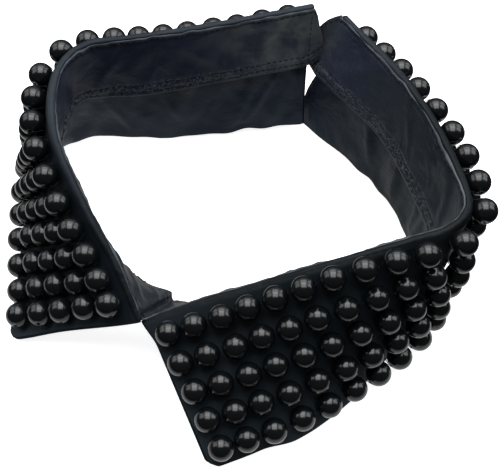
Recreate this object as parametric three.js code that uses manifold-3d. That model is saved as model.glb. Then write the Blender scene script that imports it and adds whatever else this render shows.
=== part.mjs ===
// A detachable satin collar with pointed wings, closed at the front and fastened at the back of the neck.
// The leaf of each half hangs from the fold and carries a field of round beads; the neck band lines it inside.
// Millimetres, +Z up, wearer's front towards -Y, standing on the lower edge of the leaf.
import * as THREE from "three";
import { mergeVertices } from "three/addons/utils/BufferGeometryUtils.js";
import Module from "manifold-3d";

// Cloth
const BAND_HEIGHT = 25; // from the fold to the lower edge of the neck band
const CLOTH = 1.5; // each wall is two layers of satin round an interlining
const ROLL_RADIUS = 1; // middle of the cloth as it turns over at the fold
const LIP = 2.6; // stretch of the leaf that turns down inside, as far as the neck seam
const OUTER = ROLL_RADIUS + CLOTH / 2;
const INNER = ROLL_RADIUS - CLOTH / 2;
const SEAM_GAP = 0.5; // between pieces that touch
const FACE_STRIPS = 4; // strips of the leaf's faces, from the fold to the lower edge
const TABLE_REACH = 0.4; // a lower edge this near the table is cut to lie on it

// Beads
const BEAD_RADIUS = 4.45;
const BEAD_SIDES = 10;
const BEAD_RING = 0.5; // height of a bead's two rings, as a share of its radius
const ROWS = 5; // evenly spaced from the first row to the last
const LAST_ROW = 6.4; // from the lower edge of the leaf to the last row
const COLUMNS = 20;
const FIRST_COLUMN = 0.6; // front margin, as a share of the spacing of the columns
const BEAD_GAP = 0.5; // between a bead and the smooth face that it is sewn to
const THREAD_HEIGHT = 0.3; // of the sewing thread between beads, as a share of the bead's radius
const CROSS_THREAD = 1.2; // thickness of the thread that crosses the rows under one column

// Closure
const PAD = { width: 2.2, height: 6, thickness: 0.8, corner: 0.6, down: 13 };

// Stations along each half, from the front edge of the wing to its end at the back of the neck.
// column: place along the rows of beads; fold, foot, band: plan of the fold, of the leaf's lower edge and of
// the band's lower edge; lift: height of the leaf's lower edge over the table; depth: straight distance from
// the fold to the leaf's lower edge; swell: how far the leaf bulges outwards halfway down; head: distance from
// the fold to the first row of beads.
const RIGHT_HALF = [
  { column: 0, fold: [-0.8, -57.8], foot: [38.4, -86], band: [-1.8, -40],
    lift: 0, depth: 54.3, swell: 0.8, head: 7.4 },
  { column: 2, fold: [13, -46.3], foot: [49.7, -71.8], band: [7, -38],
    lift: 0, depth: 54.4, swell: 1.4, head: 7.4 },
  { column: 4, fold: [27.4, -35], foot: [60.2, -55], band: [24, -29.5],
    lift: 0, depth: 53.2, swell: 2.6, head: 6 },
  { column: 7, fold: [49.2, -18.3], foot: [70, -26], band: [47.5, -14],
    lift: 0, depth: 50.8, swell: 5.2, head: 3.4 },
  { column: 9.3, fold: [66.7, -2.6], foot: [74.3, -5], band: [65.5, 0],
    lift: 0, depth: 49.8, swell: 3.7, head: 2.4 },
  { column: 10.5, fold: [76.5, 7.5], foot: [72, 3], band: [72.5, 8.5],
    lift: 0.9, depth: 49.8, swell: 2.7, head: 2.6 },
  { column: 11.35, fold: [79, 16.3], foot: [65.5, 13.5], band: [70, 14.5],
    lift: 2.5, depth: 51, swell: 1.6, head: 3.6 },
  { column: 13.5, fold: [66.3, 32.2], foot: [54.5, 29], band: [58, 26.5],
    lift: 2.5, depth: 51.5, swell: 2, head: 4.4 },
  { column: 16.5, fold: [40, 53.6], foot: [34, 42.8], band: [36.5, 44],
    lift: 1.5, depth: 52.3, swell: 0.8, head: 6.6 },
  { column: 20.3, fold: [5.2, 74.6], foot: [1.2, 55], band: [1.8, 60.5],
    lift: 1.4, depth: 50, swell: 0.4, head: 6 },
];
const LEFT_HALF = [
  { column: 0, fold: [-2.8, -59.3], foot: [-44.2, -77.9], band: [-1.8, -40],
    lift: 0, depth: 53.3, swell: 0, head: 6.4 },
  { column: 2, fold: [-16.3, -50.1], foot: [-53.5, -60], band: [-11, -41],
    lift: 0, depth: 52.7, swell: 0, head: 5.8 },
  { column: 4, fold: [-32.7, -40.1], foot: [-64.3, -40], band: [-31, -39.5],
    lift: 0, depth: 53, swell: 0.2, head: 6 },
  { column: 7, fold: [-57.7, -21.8], foot: [-76.3, -13.6], band: [-57, -21.5],
    lift: 0, depth: 53.3, swell: 0.8, head: 6.3 },
  { column: 9.3, fold: [-68.8, -5.3], foot: [-76.7, 2.2], band: [-68.5, -4.5],
    lift: 0, depth: 53, swell: 1, head: 6.2 },
  { column: 10.4, fold: [-70.6, 5.4], foot: [-72.3, 7.5], band: [-69.5, 5.5],
    lift: 0.3, depth: 53.3, swell: 1.2, head: 6.8 },
  { column: 11.5, fold: [-67.3, 13.6], foot: [-65.8, 11.6], band: [-63.5, 10.3],
    lift: 0.6, depth: 53.4, swell: 1.4, head: 7.8 },
  { column: 13.5, fold: [-54.1, 24.8], foot: [-49.8, 19.3], band: [-49.7, 19.3],
    lift: 0.9, depth: 53, swell: 1.6, head: 8.2 },
  { column: 16.5, fold: [-32.7, 42.6], foot: [-26.5, 33.9], band: [-28, 38],
    lift: 2, depth: 53.2, swell: 1.2, head: 8.8 },
  { column: 20.3, fold: [-5.8, 68.2], foot: [0, 53.6], band: [-4, 59.5],
    lift: 3.5, depth: 52.6, swell: 1.4, head: 8.6 },
];
// The tabs of the band pass the ends of the leaf: the end of the fold line and of the lower edge.
const RIGHT_TAB = { fold: [-2.8, 70.6, 43], band: [-4.2, 66.1, 25.4] };
const LEFT_TAB = { fold: [-4.9, 68.8, 53.2], band: [0.6, 66.2, 32] };

// Finishes
const SATIN = new THREE.MeshStandardMaterial({ color: 0x16181f, roughness: 0.5, metalness: 0 });
const BEADED_CLOTH = new THREE.MeshStandardMaterial({ color: 0x0d1117, roughness: 0.8, metalness: 0 });
const GLOSS_BLACK = new THREE.MeshStandardMaterial({ color: 0x08080a, roughness: 0.12, metalness: 0 });
const PLAIN_BLACK = new THREE.MeshStandardMaterial({ color: 0x111113, roughness: 0.9, metalness: 0 });

const wasm = await Module();
wasm.setup();

// Height that is left of a straight length of cloth once it leans by a distance in plan
function rise(length, from, to) {
  const run = Math.hypot(to[0] - from[0], to[1] - from[1]);
  return Math.sqrt(length * length - run * run);
}

// The fold, the leaf's lower edge and the band's lower edge of one half, as curves through its stations
function halfLines(stations) {
  const fold = [];
  const foot = [];
  const band = [];
  for (const s of stations) {
    const top = s.lift + rise(s.depth, s.fold, s.foot);
    fold.push(new THREE.Vector3(...s.fold, top));
    foot.push(new THREE.Vector3(...s.foot, s.lift));
    band.push(new THREE.Vector3(...s.band, top - rise(BAND_HEIGHT, s.fold, s.band)));
  }
  const curve = (points) => new THREE.CatmullRomCurve3(points, false, "centripetal");
  const columns = stations.map((s) => s.column);
  const swells = stations.map((s) => s.swell);
  const heads = stations.map((s) => s.head);
  return { fold: curve(fold), foot: curve(foot), band: curve(band), columns, swells, heads };
}

// One of the stations' sizes at a curve parameter, in even steps from each station to the next
function sizeAt(sizes, u) {
  const station = u * (sizes.length - 1);
  const i = Math.min(Math.floor(station), sizes.length - 2);
  return THREE.MathUtils.lerp(sizes[i], sizes[i + 1], station - i);
}

// Curve parameter of a place given in bead columns
function parameterAt(columns, column) {
  const last = columns.length - 1;
  const i = Math.min(Math.max(columns.findIndex((c) => c > column), 1), last) - 1;
  return (i + (column - columns[i]) / (columns[i + 1] - columns[i])) / last;
}

// Directions at one place along a half: down the leaf, down the band, and out of each face
function frameAt(lines, u, side) {
  const top = lines.fold.getPoint(u);
  const foldTangent = lines.fold.getTangent(u);
  const footTangent = lines.foot.getTangent(u);
  const down = lines.foot.getPoint(u).sub(top);
  const depth = down.length();
  down.normalize();
  const bandDown = lines.band.getPoint(u).sub(top).normalize();
  const outward = new THREE.Vector3().crossVectors(down, foldTangent).normalize().multiplyScalar(side);
  const footOut = new THREE.Vector3().crossVectors(down, footTangent).normalize().multiplyScalar(side);
  const inward = new THREE.Vector3().crossVectors(foldTangent, bandDown).normalize().multiplyScalar(side);
  const swell = sizeAt(lines.swells, u);
  const head = sizeAt(lines.heads, u);
  const bandHeight = BAND_HEIGHT;
  const sizes = { depth, swell, head, bandHeight };
  return { top, down, bandDown, outward, footOut, inward, foldTangent, footTangent, ...sizes };
}

// Point at a distance along one direction and an offset along another
function place(origin, direction, distance, normal, offset) {
  return origin.clone().addScaledVector(direction, distance).addScaledVector(normal, offset);
}

// Middle of the roll of cloth at the fold
function rollCentre(f) {
  return f.top.clone().addScaledVector(f.down, OUTER);
}

// Middle surface of the leaf at a share of its depth, and the direction that its outer face looks in there
function leafSurface(f, share) {
  const straight = f.outward.clone().lerp(f.footOut, share).normalize();
  const point = place(f.top, f.down, share * f.depth, straight, 4 * f.swell * share * (1 - share));
  const slope = (4 * f.swell * (1 - 2 * share)) / f.depth;
  const normal = straight.addScaledVector(f.down, -slope).normalize();
  return { point, normal };
}

// Point of the leaf at a share of its depth, at a distance out from its surface
function facePoint(f, share, distance) {
  const { point, normal } = leafSurface(f, share);
  return point.addScaledVector(normal, distance);
}

// Section of the leaf: its outer face from the lower edge up, over the roll, down the lip and back inside
function leafSection(f) {
  const centre = rollCentre(f);
  const crest = f.down.clone().add(f.bandDown).normalize().negate();
  const crotch = (LIP * (1 + f.down.dot(f.bandDown))) / 2;
  const outward = leafSurface(f, 0).normal;
  const overRoll = [
    outward,
    crest.clone().add(outward).normalize(),
    crest,
    crest.clone().add(f.inward).normalize(),
    f.inward,
  ];
  const shares = Array.from({ length: FACE_STRIPS }, (_, i) => 1 - i / FACE_STRIPS);
  return [
    ...shares.map((share) => facePoint(f, share, OUTER)),
    ...overRoll.map((direction) => centre.clone().addScaledVector(direction, OUTER)),
    place(centre, f.bandDown, LIP, f.inward, OUTER),
    place(centre, f.bandDown, LIP, f.inward, INNER),
    centre.clone().addScaledVector(crest, -crotch),
    ...shares.reverse().map((share) => facePoint(f, share, INNER)),
  ];
}

// Section of the neck band, from the seam under the lip to its lower edge
function bandSection(f) {
  const centre = rollCentre(f);
  const start = LIP + SEAM_GAP;
  const end = f.bandHeight - OUTER;
  return [
    place(centre, f.bandDown, end, f.inward, OUTER),
    place(centre, f.bandDown, end, f.inward, INNER),
    place(centre, f.bandDown, start, f.inward, INNER),
    place(centre, f.bandDown, start, f.inward, OUTER),
  ];
}

// Closed surface from points and triangles, turned so that it faces out
function closedSurface(points, faces) {
  let volume = 0;
  const normal = new THREE.Vector3();
  for (const [a, b, c] of faces) volume += points[a].dot(normal.crossVectors(points[b], points[c])) / 6;
  const outward = volume > 0 ? faces : faces.map(([a, b, c]) => [a, c, b]);
  const geometry = new THREE.BufferGeometry().setFromPoints(points);
  geometry.setIndex(outward.flat());
  return geometry;
}

// Closed solid through rings of equally many points, with flat ends
function loft(rings) {
  const size = rings[0].length;
  const faces = [];
  const face = (a, b, c) => faces.push([a, b, c]);
  for (let r = 0; r < rings.length - 1; r++) {
    for (let i = 0; i < size; i++) {
      const a = r * size + i;
      const b = r * size + ((i + 1) % size);
      face(a, b, b + size);
      face(a, b + size, a + size);
    }
  }
  const contour = endContour(rings[0]);
  const last = (rings.length - 1) * size;
  for (const [a, b, c] of THREE.ShapeUtils.triangulateShape(contour, [])) {
    face(a, c, b);
    face(last + a, last + b, last + c);
  }
  return closedSurface(rings.flat(), faces);
}

// Flat outline of a ring, seen along the row that it closes
function endContour(ring) {
  const normal = new THREE.Vector3();
  ring.forEach((p, i) => normal.add(new THREE.Vector3().crossVectors(p, ring[(i + 1) % ring.length])));
  const across = ring[1].clone().sub(ring[0]).normalize();
  const along = new THREE.Vector3().crossVectors(normal.normalize(), across);
  return ring.map((p) => new THREE.Vector2(p.dot(across), p.dot(along)));
}

// Curve parameters of the sections: every station, and about one section to a column between them
function sections(lines) {
  const spans = lines.columns.length - 1;
  const places = [0];
  for (let span = 0; span < spans; span++) {
    const steps = Math.ceil(lines.columns[span + 1] - lines.columns[span]);
    for (let step = 1; step <= steps; step++) places.push((span + step / steps) / spans);
  }
  return places;
}

function leafGeometry(lines, side) {
  const rings = sections(lines).map((u) => leafSection(frameAt(lines, u, side)));
  for (const ring of rings) restOnTable(ring);
  return loft(rings);
}

// The lower edge is cut level, so that the leaf stands flat where it meets the table
function restOnTable(ring) {
  const outer = ring[0];
  const inner = ring[ring.length - 1];
  const level = Math.max(0, Math.min(outer.z, inner.z));
  const low = level < TABLE_REACH ? 0 : level;
  outer.z = low;
  inner.z = low;
}

// Frame at the free end of a tab, where the band has left the leaf
function tabFrame(lines, tab, side) {
  const top = new THREE.Vector3(...tab.fold);
  const low = new THREE.Vector3(...tab.band);
  const tangent = top.clone().add(low).sub(lines.fold.getPoint(1)).sub(lines.band.getPoint(1)).normalize();
  const bandDown = low.clone().sub(top).normalize();
  const inward = new THREE.Vector3().crossVectors(tangent, bandDown).normalize().multiplyScalar(side);
  return { top, down: bandDown, bandDown, bandHeight: top.distanceTo(low), inward };
}

// The neck band runs in one piece from the right tab, round the front, to the left tab
function bandGeometry(right, left) {
  const rings = [];
  rings.push(bandSection(tabFrame(right, RIGHT_TAB, 1)));
  for (const u of sections(right).reverse()) rings.push(bandSection(frameAt(right, u, 1)));
  rings.push(frontSection(right, left));
  for (const u of sections(left)) rings.push(bandSection(frameAt(left, u, -1)));
  rings.push(bandSection(tabFrame(left, LEFT_TAB, -1)));
  return loft(rings);
}

// Section on the middle line, halfway between the first sections of the two halves
function frontSection(right, left) {
  const a = bandSection(frameAt(right, 0, 1));
  const b = bandSection(frameAt(left, 0, -1));
  return a.map((p, i) => p.clone().add(b[i]).multiplyScalar(0.5));
}

// Centre, outward axis and row direction of one bead
function beadFrame(lines, column, row, side) {
  const f = frameAt(lines, parameterAt(lines.columns, column), side);
  const pitch = (f.depth - f.head - LAST_ROW) / (ROWS - 1);
  const share = (f.head + row * pitch) / f.depth;
  const axis = leafSurface(f, share).normal;
  const centre = facePoint(f, share, OUTER + BEAD_GAP + BEAD_RADIUS);
  const tangent = f.foldTangent.clone().lerp(f.footTangent, share);
  const along = tangent.addScaledVector(axis, -tangent.dot(axis)).normalize();
  const across = new THREE.Vector3().crossVectors(axis, along);
  return { centre, axis, along, across };
}

// One row of round beads joined by its sewing thread, as one closed surface.
// Each bead has a pole at either end of its axis and two rings; the thread leaves from the lower ring.
function beadRow(frames) {
  const points = [];
  const faces = [];
  const face = (a, b, c) => faces.push([a, b, c]);
  const point = (f, x, y, z) => {
    points.push(place(f.centre, f.along, x, f.across, y).addScaledVector(f.axis, z));
    return points.length - 1;
  };
  const height = BEAD_RADIUS * BEAD_RING;
  const ringRadius = Math.sqrt(BEAD_RADIUS ** 2 - height ** 2);
  const sideAngle = (2 * Math.PI) / BEAD_SIDES;
  const faceRadius = ringRadius * Math.cos(sideAngle / 2);
  const threadTop = -height + BEAD_RADIUS * THREAD_HEIGHT;
  const opposite = BEAD_SIDES / 2;
  let behind = null;
  frames.forEach((f, bead) => {
    const outerPole = point(f, 0, 0, BEAD_RADIUS);
    const innerPole = point(f, 0, 0, -BEAD_RADIUS);
    const high = [];
    const low = [];
    for (let i = 0; i < BEAD_SIDES; i++) {
      const angle = (i - 0.5) * sideAngle;
      high.push(point(f, ringRadius * Math.cos(angle), ringRadius * Math.sin(angle), height));
      low.push(point(f, ringRadius * Math.cos(angle), ringRadius * Math.sin(angle), -height));
    }
    const ahead = bead < frames.length - 1 ? point(f, faceRadius, 0, threadTop) : null;
    const back = bead > 0 ? point(f, -faceRadius, 0, threadTop) : null;
    for (let i = 0; i < BEAD_SIDES; i++) {
      const j = (i + 1) % BEAD_SIDES;
      const eyelet = i === 0 ? ahead : i === opposite ? back : null;
      face(outerPole, high[i], high[j]);
      face(innerPole, low[j], low[i]);
      if (eyelet === null) {
        face(high[i], low[i], low[j]);
        face(high[i], low[j], high[j]);
      } else {
        face(high[i], low[i], eyelet);
        face(high[i], eyelet, high[j]);
        face(high[j], eyelet, low[j]);
      }
    }
    if (behind) {
      const from = [behind.eyelet, behind.low[0], behind.low[1]];
      const to = [back, low[opposite + 1], low[opposite]];
      for (let i = 0; i < 3; i++) {
        const j = (i + 1) % 3;
        face(from[i], from[j], to[j]);
        face(from[i], to[j], to[i]);
      }
    }
    behind = { eyelet: ahead, low };
  });
  return closedSurface(points, faces);
}

// A closed geometry as a solid that can be joined
function toSolid(geometry) {
  const bare = geometry.clone();
  bare.deleteAttribute("normal");
  bare.deleteAttribute("uv");
  const merged = mergeVertices(bare, 1e-4);
  const vertProperties = new Float32Array(merged.attributes.position.array);
  const triVerts = new Uint32Array(merged.index.array);
  return new wasm.Manifold(new wasm.Mesh({ numProp: 3, vertProperties, triVerts }));
}

function fromSolid(solid) {
  const { vertProperties, triVerts } = solid.getMesh();
  const geometry = new THREE.BufferGeometry();
  geometry.setAttribute("position", new THREE.BufferAttribute(vertProperties, 3));
  geometry.setIndex(new THREE.BufferAttribute(triVerts, 1));
  return geometry;
}

// The thread that crosses the rows under one column of beads
function crossThread(frames) {
  const size = CROSS_THREAD / 2;
  const rings = frames.map(({ centre, axis, along }) => {
    const level = place(centre, axis, THREAD_HEIGHT * BEAD_RADIUS - BEAD_RADIUS * BEAD_RING, along, 0);
    return [
      place(level, along, size, axis, 0),
      place(level, along, -size, axis, 0),
      place(level, along, 0, axis, -CROSS_THREAD),
    ];
  });
  return loft(rings);
}

// All beads of one half, fused by their threads
function beadField(lines, side) {
  const grid = [];
  for (let row = 0; row < ROWS; row++) {
    const frames = [];
    for (let i = 0; i < COLUMNS; i++) frames.push(beadFrame(lines, FIRST_COLUMN + i, row, side));
    grid.push(frames);
  }
  const column = grid.map((frames) => frames[COLUMNS / 2 - 1]);
  let field = toSolid(crossThread(column));
  for (const frames of grid) field = field.add(toSolid(beadRow(frames)));
  return fromSolid(field);
}

// The plain closure pad between the tabs, on the left one
function closurePad(left) {
  const { width, height, thickness, corner, down } = PAD;
  const outline = new THREE.Shape();
  outline.moveTo(-width / 2 + corner, -height / 2);
  outline.lineTo(width / 2 - corner, -height / 2);
  outline.absarc(width / 2 - corner, -height / 2 + corner, corner, -Math.PI / 2, 0);
  outline.lineTo(width / 2, height / 2 - corner);
  outline.absarc(width / 2 - corner, height / 2 - corner, corner, 0, Math.PI / 2);
  outline.lineTo(-width / 2 + corner, height / 2);
  outline.absarc(-width / 2 + corner, height / 2 - corner, corner, Math.PI / 2, Math.PI);
  outline.lineTo(-width / 2, -height / 2 + corner);
  outline.absarc(-width / 2 + corner, -height / 2 + corner, corner, Math.PI, 1.5 * Math.PI);
  const settings = { depth: thickness, bevelEnabled: false, curveSegments: 3 };
  const geometry = new THREE.ExtrudeGeometry(outline, settings);
  const end = tabFrame(left, LEFT_TAB, -1);
  const leafEnd = frameAt(left, 1, -1);
  const faceGap = INNER - SEAM_GAP - thickness;
  const onEnd = place(end.top, end.bandDown, down, end.inward, faceGap);
  const onLeafEnd = place(leafEnd.top, leafEnd.bandDown, down, leafEnd.inward, faceGap);
  const middle = onEnd.clone().add(onLeafEnd).multiplyScalar(0.5);
  const normal = end.inward.clone().add(leafEnd.inward).normalize();
  const up = end.bandDown.clone().negate();
  const across = new THREE.Vector3().crossVectors(up, normal).normalize();
  const upright = new THREE.Vector3().crossVectors(normal, across);
  const basis = new THREE.Matrix4().makeBasis(across, upright, normal);
  return { geometry, middle, turn: new THREE.Quaternion().setFromRotationMatrix(basis) };
}

function piece(name, geometry, material) {
  const mesh = new THREE.Mesh(geometry, material);
  mesh.name = name;
  return mesh;
}

const rightLines = halfLines(RIGHT_HALF);
const leftLines = halfLines(LEFT_HALF);
const collar = new THREE.Group();
collar.add(piece("leaf_right", leafGeometry(rightLines, 1), BEADED_CLOTH));
collar.add(piece("leaf_left", leafGeometry(leftLines, -1), BEADED_CLOTH));
collar.add(piece("neck_band", bandGeometry(rightLines, leftLines), SATIN));
collar.add(piece("beads_right", beadField(rightLines, 1), GLOSS_BLACK));
collar.add(piece("beads_left", beadField(leftLines, -1), GLOSS_BLACK));
const pad = closurePad(leftLines);
const closure = piece("closure_pad", pad.geometry, PLAIN_BLACK);
closure.position.copy(pad.middle);
closure.quaternion.copy(pad.turn);
collar.add(closure);

// The origin is the middle of the footprint, on the table
const bounds = new THREE.Box3().setFromObject(collar);
const centre = bounds.getCenter(new THREE.Vector3());
collar.position.set(-centre.x, -centre.y, -bounds.min.z);

export default collar;
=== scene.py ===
"""Dressed model of a detachable satin collar, sewn all over with round glossy beads.

Lengths below are in millimetres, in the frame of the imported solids. Meshes are made in metres.
"""

import logging
import math
from collections.abc import Iterator
from dataclasses import dataclass, field
from enum import Enum

import bmesh
import bpy
import numpy as np
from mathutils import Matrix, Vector


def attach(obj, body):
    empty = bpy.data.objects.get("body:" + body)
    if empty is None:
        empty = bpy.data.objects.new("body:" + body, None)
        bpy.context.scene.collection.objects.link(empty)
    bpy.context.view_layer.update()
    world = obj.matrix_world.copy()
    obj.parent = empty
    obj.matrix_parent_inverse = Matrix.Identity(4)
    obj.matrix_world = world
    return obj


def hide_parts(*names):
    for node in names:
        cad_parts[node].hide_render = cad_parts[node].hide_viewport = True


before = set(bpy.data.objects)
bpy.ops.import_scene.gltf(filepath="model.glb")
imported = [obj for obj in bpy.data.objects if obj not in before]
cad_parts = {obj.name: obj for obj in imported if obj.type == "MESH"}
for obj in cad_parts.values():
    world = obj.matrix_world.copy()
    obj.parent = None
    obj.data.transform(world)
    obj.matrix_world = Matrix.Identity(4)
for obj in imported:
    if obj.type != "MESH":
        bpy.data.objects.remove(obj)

Array = np.ndarray
Socket = bpy.types.NodeSocket
Colour = tuple[float, float, float]

LOG = logging.getLogger("collar")
MM = 0.001
UV_SPAN = 500.0  # millimetres of cloth across the whole of a UV map
TABLE_SHIFT = np.array([-0.401, 4.211, 0.0])  # from the stations' own plan to the frame

BAND_HEIGHT = 25.0
CLOTH = 1.5
ROLL_RADIUS = 1.0  # of the middle of the cloth round the middle of the roll
OUTER = ROLL_RADIUS + CLOTH / 2  # face of the cloth, from the middle of the roll
INNER = ROLL_RADIUS - CLOTH / 2  # back of the cloth, from the middle of the roll
BEAD_RADIUS = 4.45
BEAD_GAP = 0.25
ROWS = 5
LAST_ROW = 6.4  # from the middle of the last row of beads to the lower edge
COLUMNS = 20
FIRST_COLUMN = 0.6

LIP = 2.6  # how far the leaf goes on down behind the band
LIP_STEPS = np.array([[1.3, LIP]])  # places of its points, down from the middle of the roll
ROLL_LENGTH = 5.5  # of cloth over the roll, from the face to the lip
SEAM_TURN = 0.45  # turn of the roll, in radians above level, at which the neck band begins
SEAM_STEPS = (0.25, 0.5, 0.72, 0.88, 1.0)  # shares of the way from the top of the roll to the seam
SEAM_TUCK = 0.1  # turn past the seam within which the leaf thins to its tongue
TONGUE = 1.05  # face of the thin end of the leaf that lies behind the band, from the middle of the roll
SEAM_EDGE = [OUTER - 0.06, OUTER - 0.35, TONGUE, TONGUE]  # face of the leaf as it goes in under the seam
BAND_BACK = 1.3  # back of the band where it lies over that thin end
TIP_RADIUS = 3.6
# A bead's thread: out from the bead's side and up from its middle, and then its end, up from the lowest point
THREAD_ROUTE = ((-1.0, 0), (-0.02, 0), (0.14, -0.35), (0.02, -1.3), (-0.6, -2.7))
THREAD_END = (-1.4, -0.7)

WAVES_PER_THREAD = 0.16  # scale of a wave texture for one thread across the UV map
CROSS_THREADS = 0.45  # height of the cross threads, as a share of that of the floats
SLUB_STRETCH = (420.0, 42.0, 1.0)  # scale of the slubs along and across the UV map
CLOUD_EDGES = (0.34, 0.66)  # values of a noise between which a cloud goes from clear to full
SPECKLE_EDGES = (0.47, 0.62)  # the same for the speckles of painted glints over a strip


class Side(Enum):
    """Half of the collar, by the side of the frame that it lies on."""

    RIGHT = 1
    LEFT = -1


class Surface(Enum):
    """Material place of the two faces of a doubled cloth, and of the top of its face, which takes a copy of
    the satin with painted light and shade.
    """

    FACE = 0
    BACK = 1
    PAINTED_TOP = 2


@dataclass(frozen=True)
class Station:
    """One cross-section of a half, from the front edge of the wing to the back of the neck.

    column is its place along the rows of beads. fold, foot and band are the plan of the fold, of the leaf's
    lower edge and of the band's lower edge. lift is the height of the leaf's lower edge. depth is the
    straight distance from the fold to that edge. swell is how far the leaf bulges outwards halfway down.
    head is the distance from the fold to the first row of beads.
    """

    column: float
    fold: tuple[float, float]
    foot: tuple[float, float]
    band: tuple[float, float]
    lift: float
    depth: float
    swell: float
    head: float


RIGHT_HALF = (
    Station(0, (-0.8, -57.8), (38.4, -86), (-1.8, -40), 0, 54.3, 0.8, 7.4),
    Station(2, (13, -46.3), (49.7, -71.8), (7, -38), 0, 54.4, 1.4, 7.4),
    Station(4, (27.4, -35), (60.2, -55), (24, -29.5), 0, 53.2, 2.6, 6),
    Station(7, (49.2, -18.3), (70, -26), (47.5, -14), 0, 50.8, 5.2, 3.4),
    Station(9.3, (66.7, -2.6), (74.3, -5), (65.5, 0), 0, 49.8, 3.7, 2.4),
    Station(10.5, (76.5, 7.5), (72, 3), (72.5, 8.5), 0.9, 49.8, 2.7, 2.6),
    Station(11.35, (79, 16.3), (65.5, 13.5), (70, 14.5), 2.5, 51, 1.6, 3.6),
    Station(13.5, (66.3, 32.2), (54.5, 29), (58, 26.5), 2.5, 51.5, 2, 4.4),
    Station(16.5, (40, 53.6), (34, 42.8), (36.5, 44), 1.5, 52.3, 0.8, 6.6),
    Station(20.3, (5.2, 74.6), (1.2, 55), (1.8, 60.5), 1.4, 50, 0.4, 6),
)
LEFT_HALF = (
    Station(0, (-2.8, -59.3), (-45.2, -78.4), (-1.8, -40), 0, 54.3, 0, 6.4),
    Station(2, (-16.3, -50.1), (-54.6, -60.3), (-11, -41), 0, 53.5, 0, 5.8),
    Station(4, (-33.2, -40.8), (-65.5, -40), (-31.5, -40.2), 0, 53.4, 0.2, 6),
    Station(7, (-58.3, -22.6), (-77.3, -13.2), (-57.6, -22.3), 0, 53.6, 0.8, 6.3),
    Station(9.3, (-69.4, -5.6), (-76.7, 2.2), (-69.1, -4.8), 0, 53, 1, 6.2),
    Station(10.4, (-70.6, 5.4), (-72.3, 7.5), (-69.5, 5.5), 0.3, 53.3, 1.2, 6.8),
    Station(11.5, (-67.3, 13.6), (-65.8, 11.6), (-63.5, 10.3), 0.6, 53.4, 1.4, 7.8),
    Station(13.5, (-54.1, 24.8), (-49.8, 19.3), (-49.7, 19.3), 0.9, 53, 1.6, 8.2),
    Station(16.5, (-32.7, 42.6), (-26.5, 33.9), (-28, 38), 2, 53.2, 1.2, 8.8),
    Station(20.3, (-5.8, 68.2), (0, 53.6), (-4, 59.5), 3.5, 52.6, 1.4, 8.6),
)


@dataclass(frozen=True)
class Tab:
    """Free end of the neck band: end of its fold line and of its lower edge."""

    fold: tuple[float, float, float]
    band: tuple[float, float, float]


RIGHT_TAB = Tab((-2.8, 70.6, 43), (-4.2, 66.1, 25.4))
LEFT_TAB = Tab((-5.1, 68.7, 53.8), (0.6, 66.2, 32))


def unit(vectors: Array) -> Array:
    """Vectors scaled to length one.

    Args:
        vectors: Any array whose last axis is x, y, z.

    Returns:
        The same array with every vector one long.
    """
    length = np.linalg.norm(vectors, axis=-1, keepdims=True)
    return vectors / np.maximum(length, 1e-12)


def smooth_line(points: Array, u: Array) -> Array:
    """Centripetal spline through evenly numbered points.

    Args:
        points: The points, one row each.
        u: Places from 0 at the first point to 1 at the last.

    Returns:
        One point for each place.
    """
    last = len(points) - 1
    place = np.clip(u, 0, 1) * last
    i = np.minimum(np.floor(place).astype(int), last - 1)
    w = (place - i)[:, None]
    ext = np.vstack([2 * points[0] - points[1], points, 2 * points[-1] - points[-2]])
    p0, p1, p2, p3 = ext[i], ext[i + 1], ext[i + 2], ext[i + 3]
    d0, d1, d2 = (np.sqrt(np.linalg.norm(b - a, axis=1))[:, None] for a, b in ((p0, p1), (p1, p2), (p2, p3)))
    t1 = ((p1 - p0) / d0 - (p2 - p0) / (d0 + d1) + (p2 - p1) / d1) * d1
    t2 = ((p2 - p1) / d1 - (p3 - p1) / (d1 + d2) + (p3 - p2) / d2) * d1
    square = 3 * (p2 - p1) - 2 * t1 - t2
    cube = 2 * (p1 - p2) + t1 + t2
    return p1 + t1 * w + square * w**2 + cube * w**3


def line_direction(points: Array, u: Array) -> Array:
    """Direction of the spline of smooth_line.

    Args:
        points: The points, one row each.
        u: Places from 0 at the first point to 1 at the last.

    Returns:
        The direction at each place, one long.
    """
    step = 1e-4
    ahead = smooth_line(points, np.clip(u + step, 0, 1))
    behind = smooth_line(points, np.clip(u - step, 0, 1))
    return unit(ahead - behind)


def distances_along(points: Array) -> Array:
    """Distance of each point of a line from its first, along the line."""
    return np.concatenate([[0], np.cumsum(np.linalg.norm(np.diff(points, axis=0), axis=1))])


@dataclass(frozen=True)
class Sections:
    """Directions and sizes at many places along one half, one row of each array for a place."""

    top: Array
    down: Array
    depth: Array
    swell: Array
    head: Array
    band_down: Array
    outward: Array
    foot_out: Array
    inward: Array
    fold_tangent: Array
    foot_tangent: Array

    @property
    def roll_centre(self) -> Array:
        """Middle of the roll of cloth at the fold."""
        return self.top + self.down * OUTER

    def leaf_surface(self, share: Array) -> tuple[Array, Array]:
        """Middle surface of the leaf.

        Args:
            share: Share of the depth, from 0 at the fold to 1 at the lower edge, for each place and row.

        Returns:
            The points and the directions that the outer face looks in, with a row for each place.
        """
        s = share[..., None]
        straight = unit(self.outward[:, None] * (1 - s) + self.foot_out[:, None] * s)
        swell = self.swell[:, None, None]
        depth = self.depth[:, None, None]
        down = self.down[:, None]
        point = self.top[:, None] + down * s * depth + straight * (4 * swell * s * (1 - s))
        slope = 4 * swell * (1 - 2 * s) / depth
        return point, unit(straight - down * slope)


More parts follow.
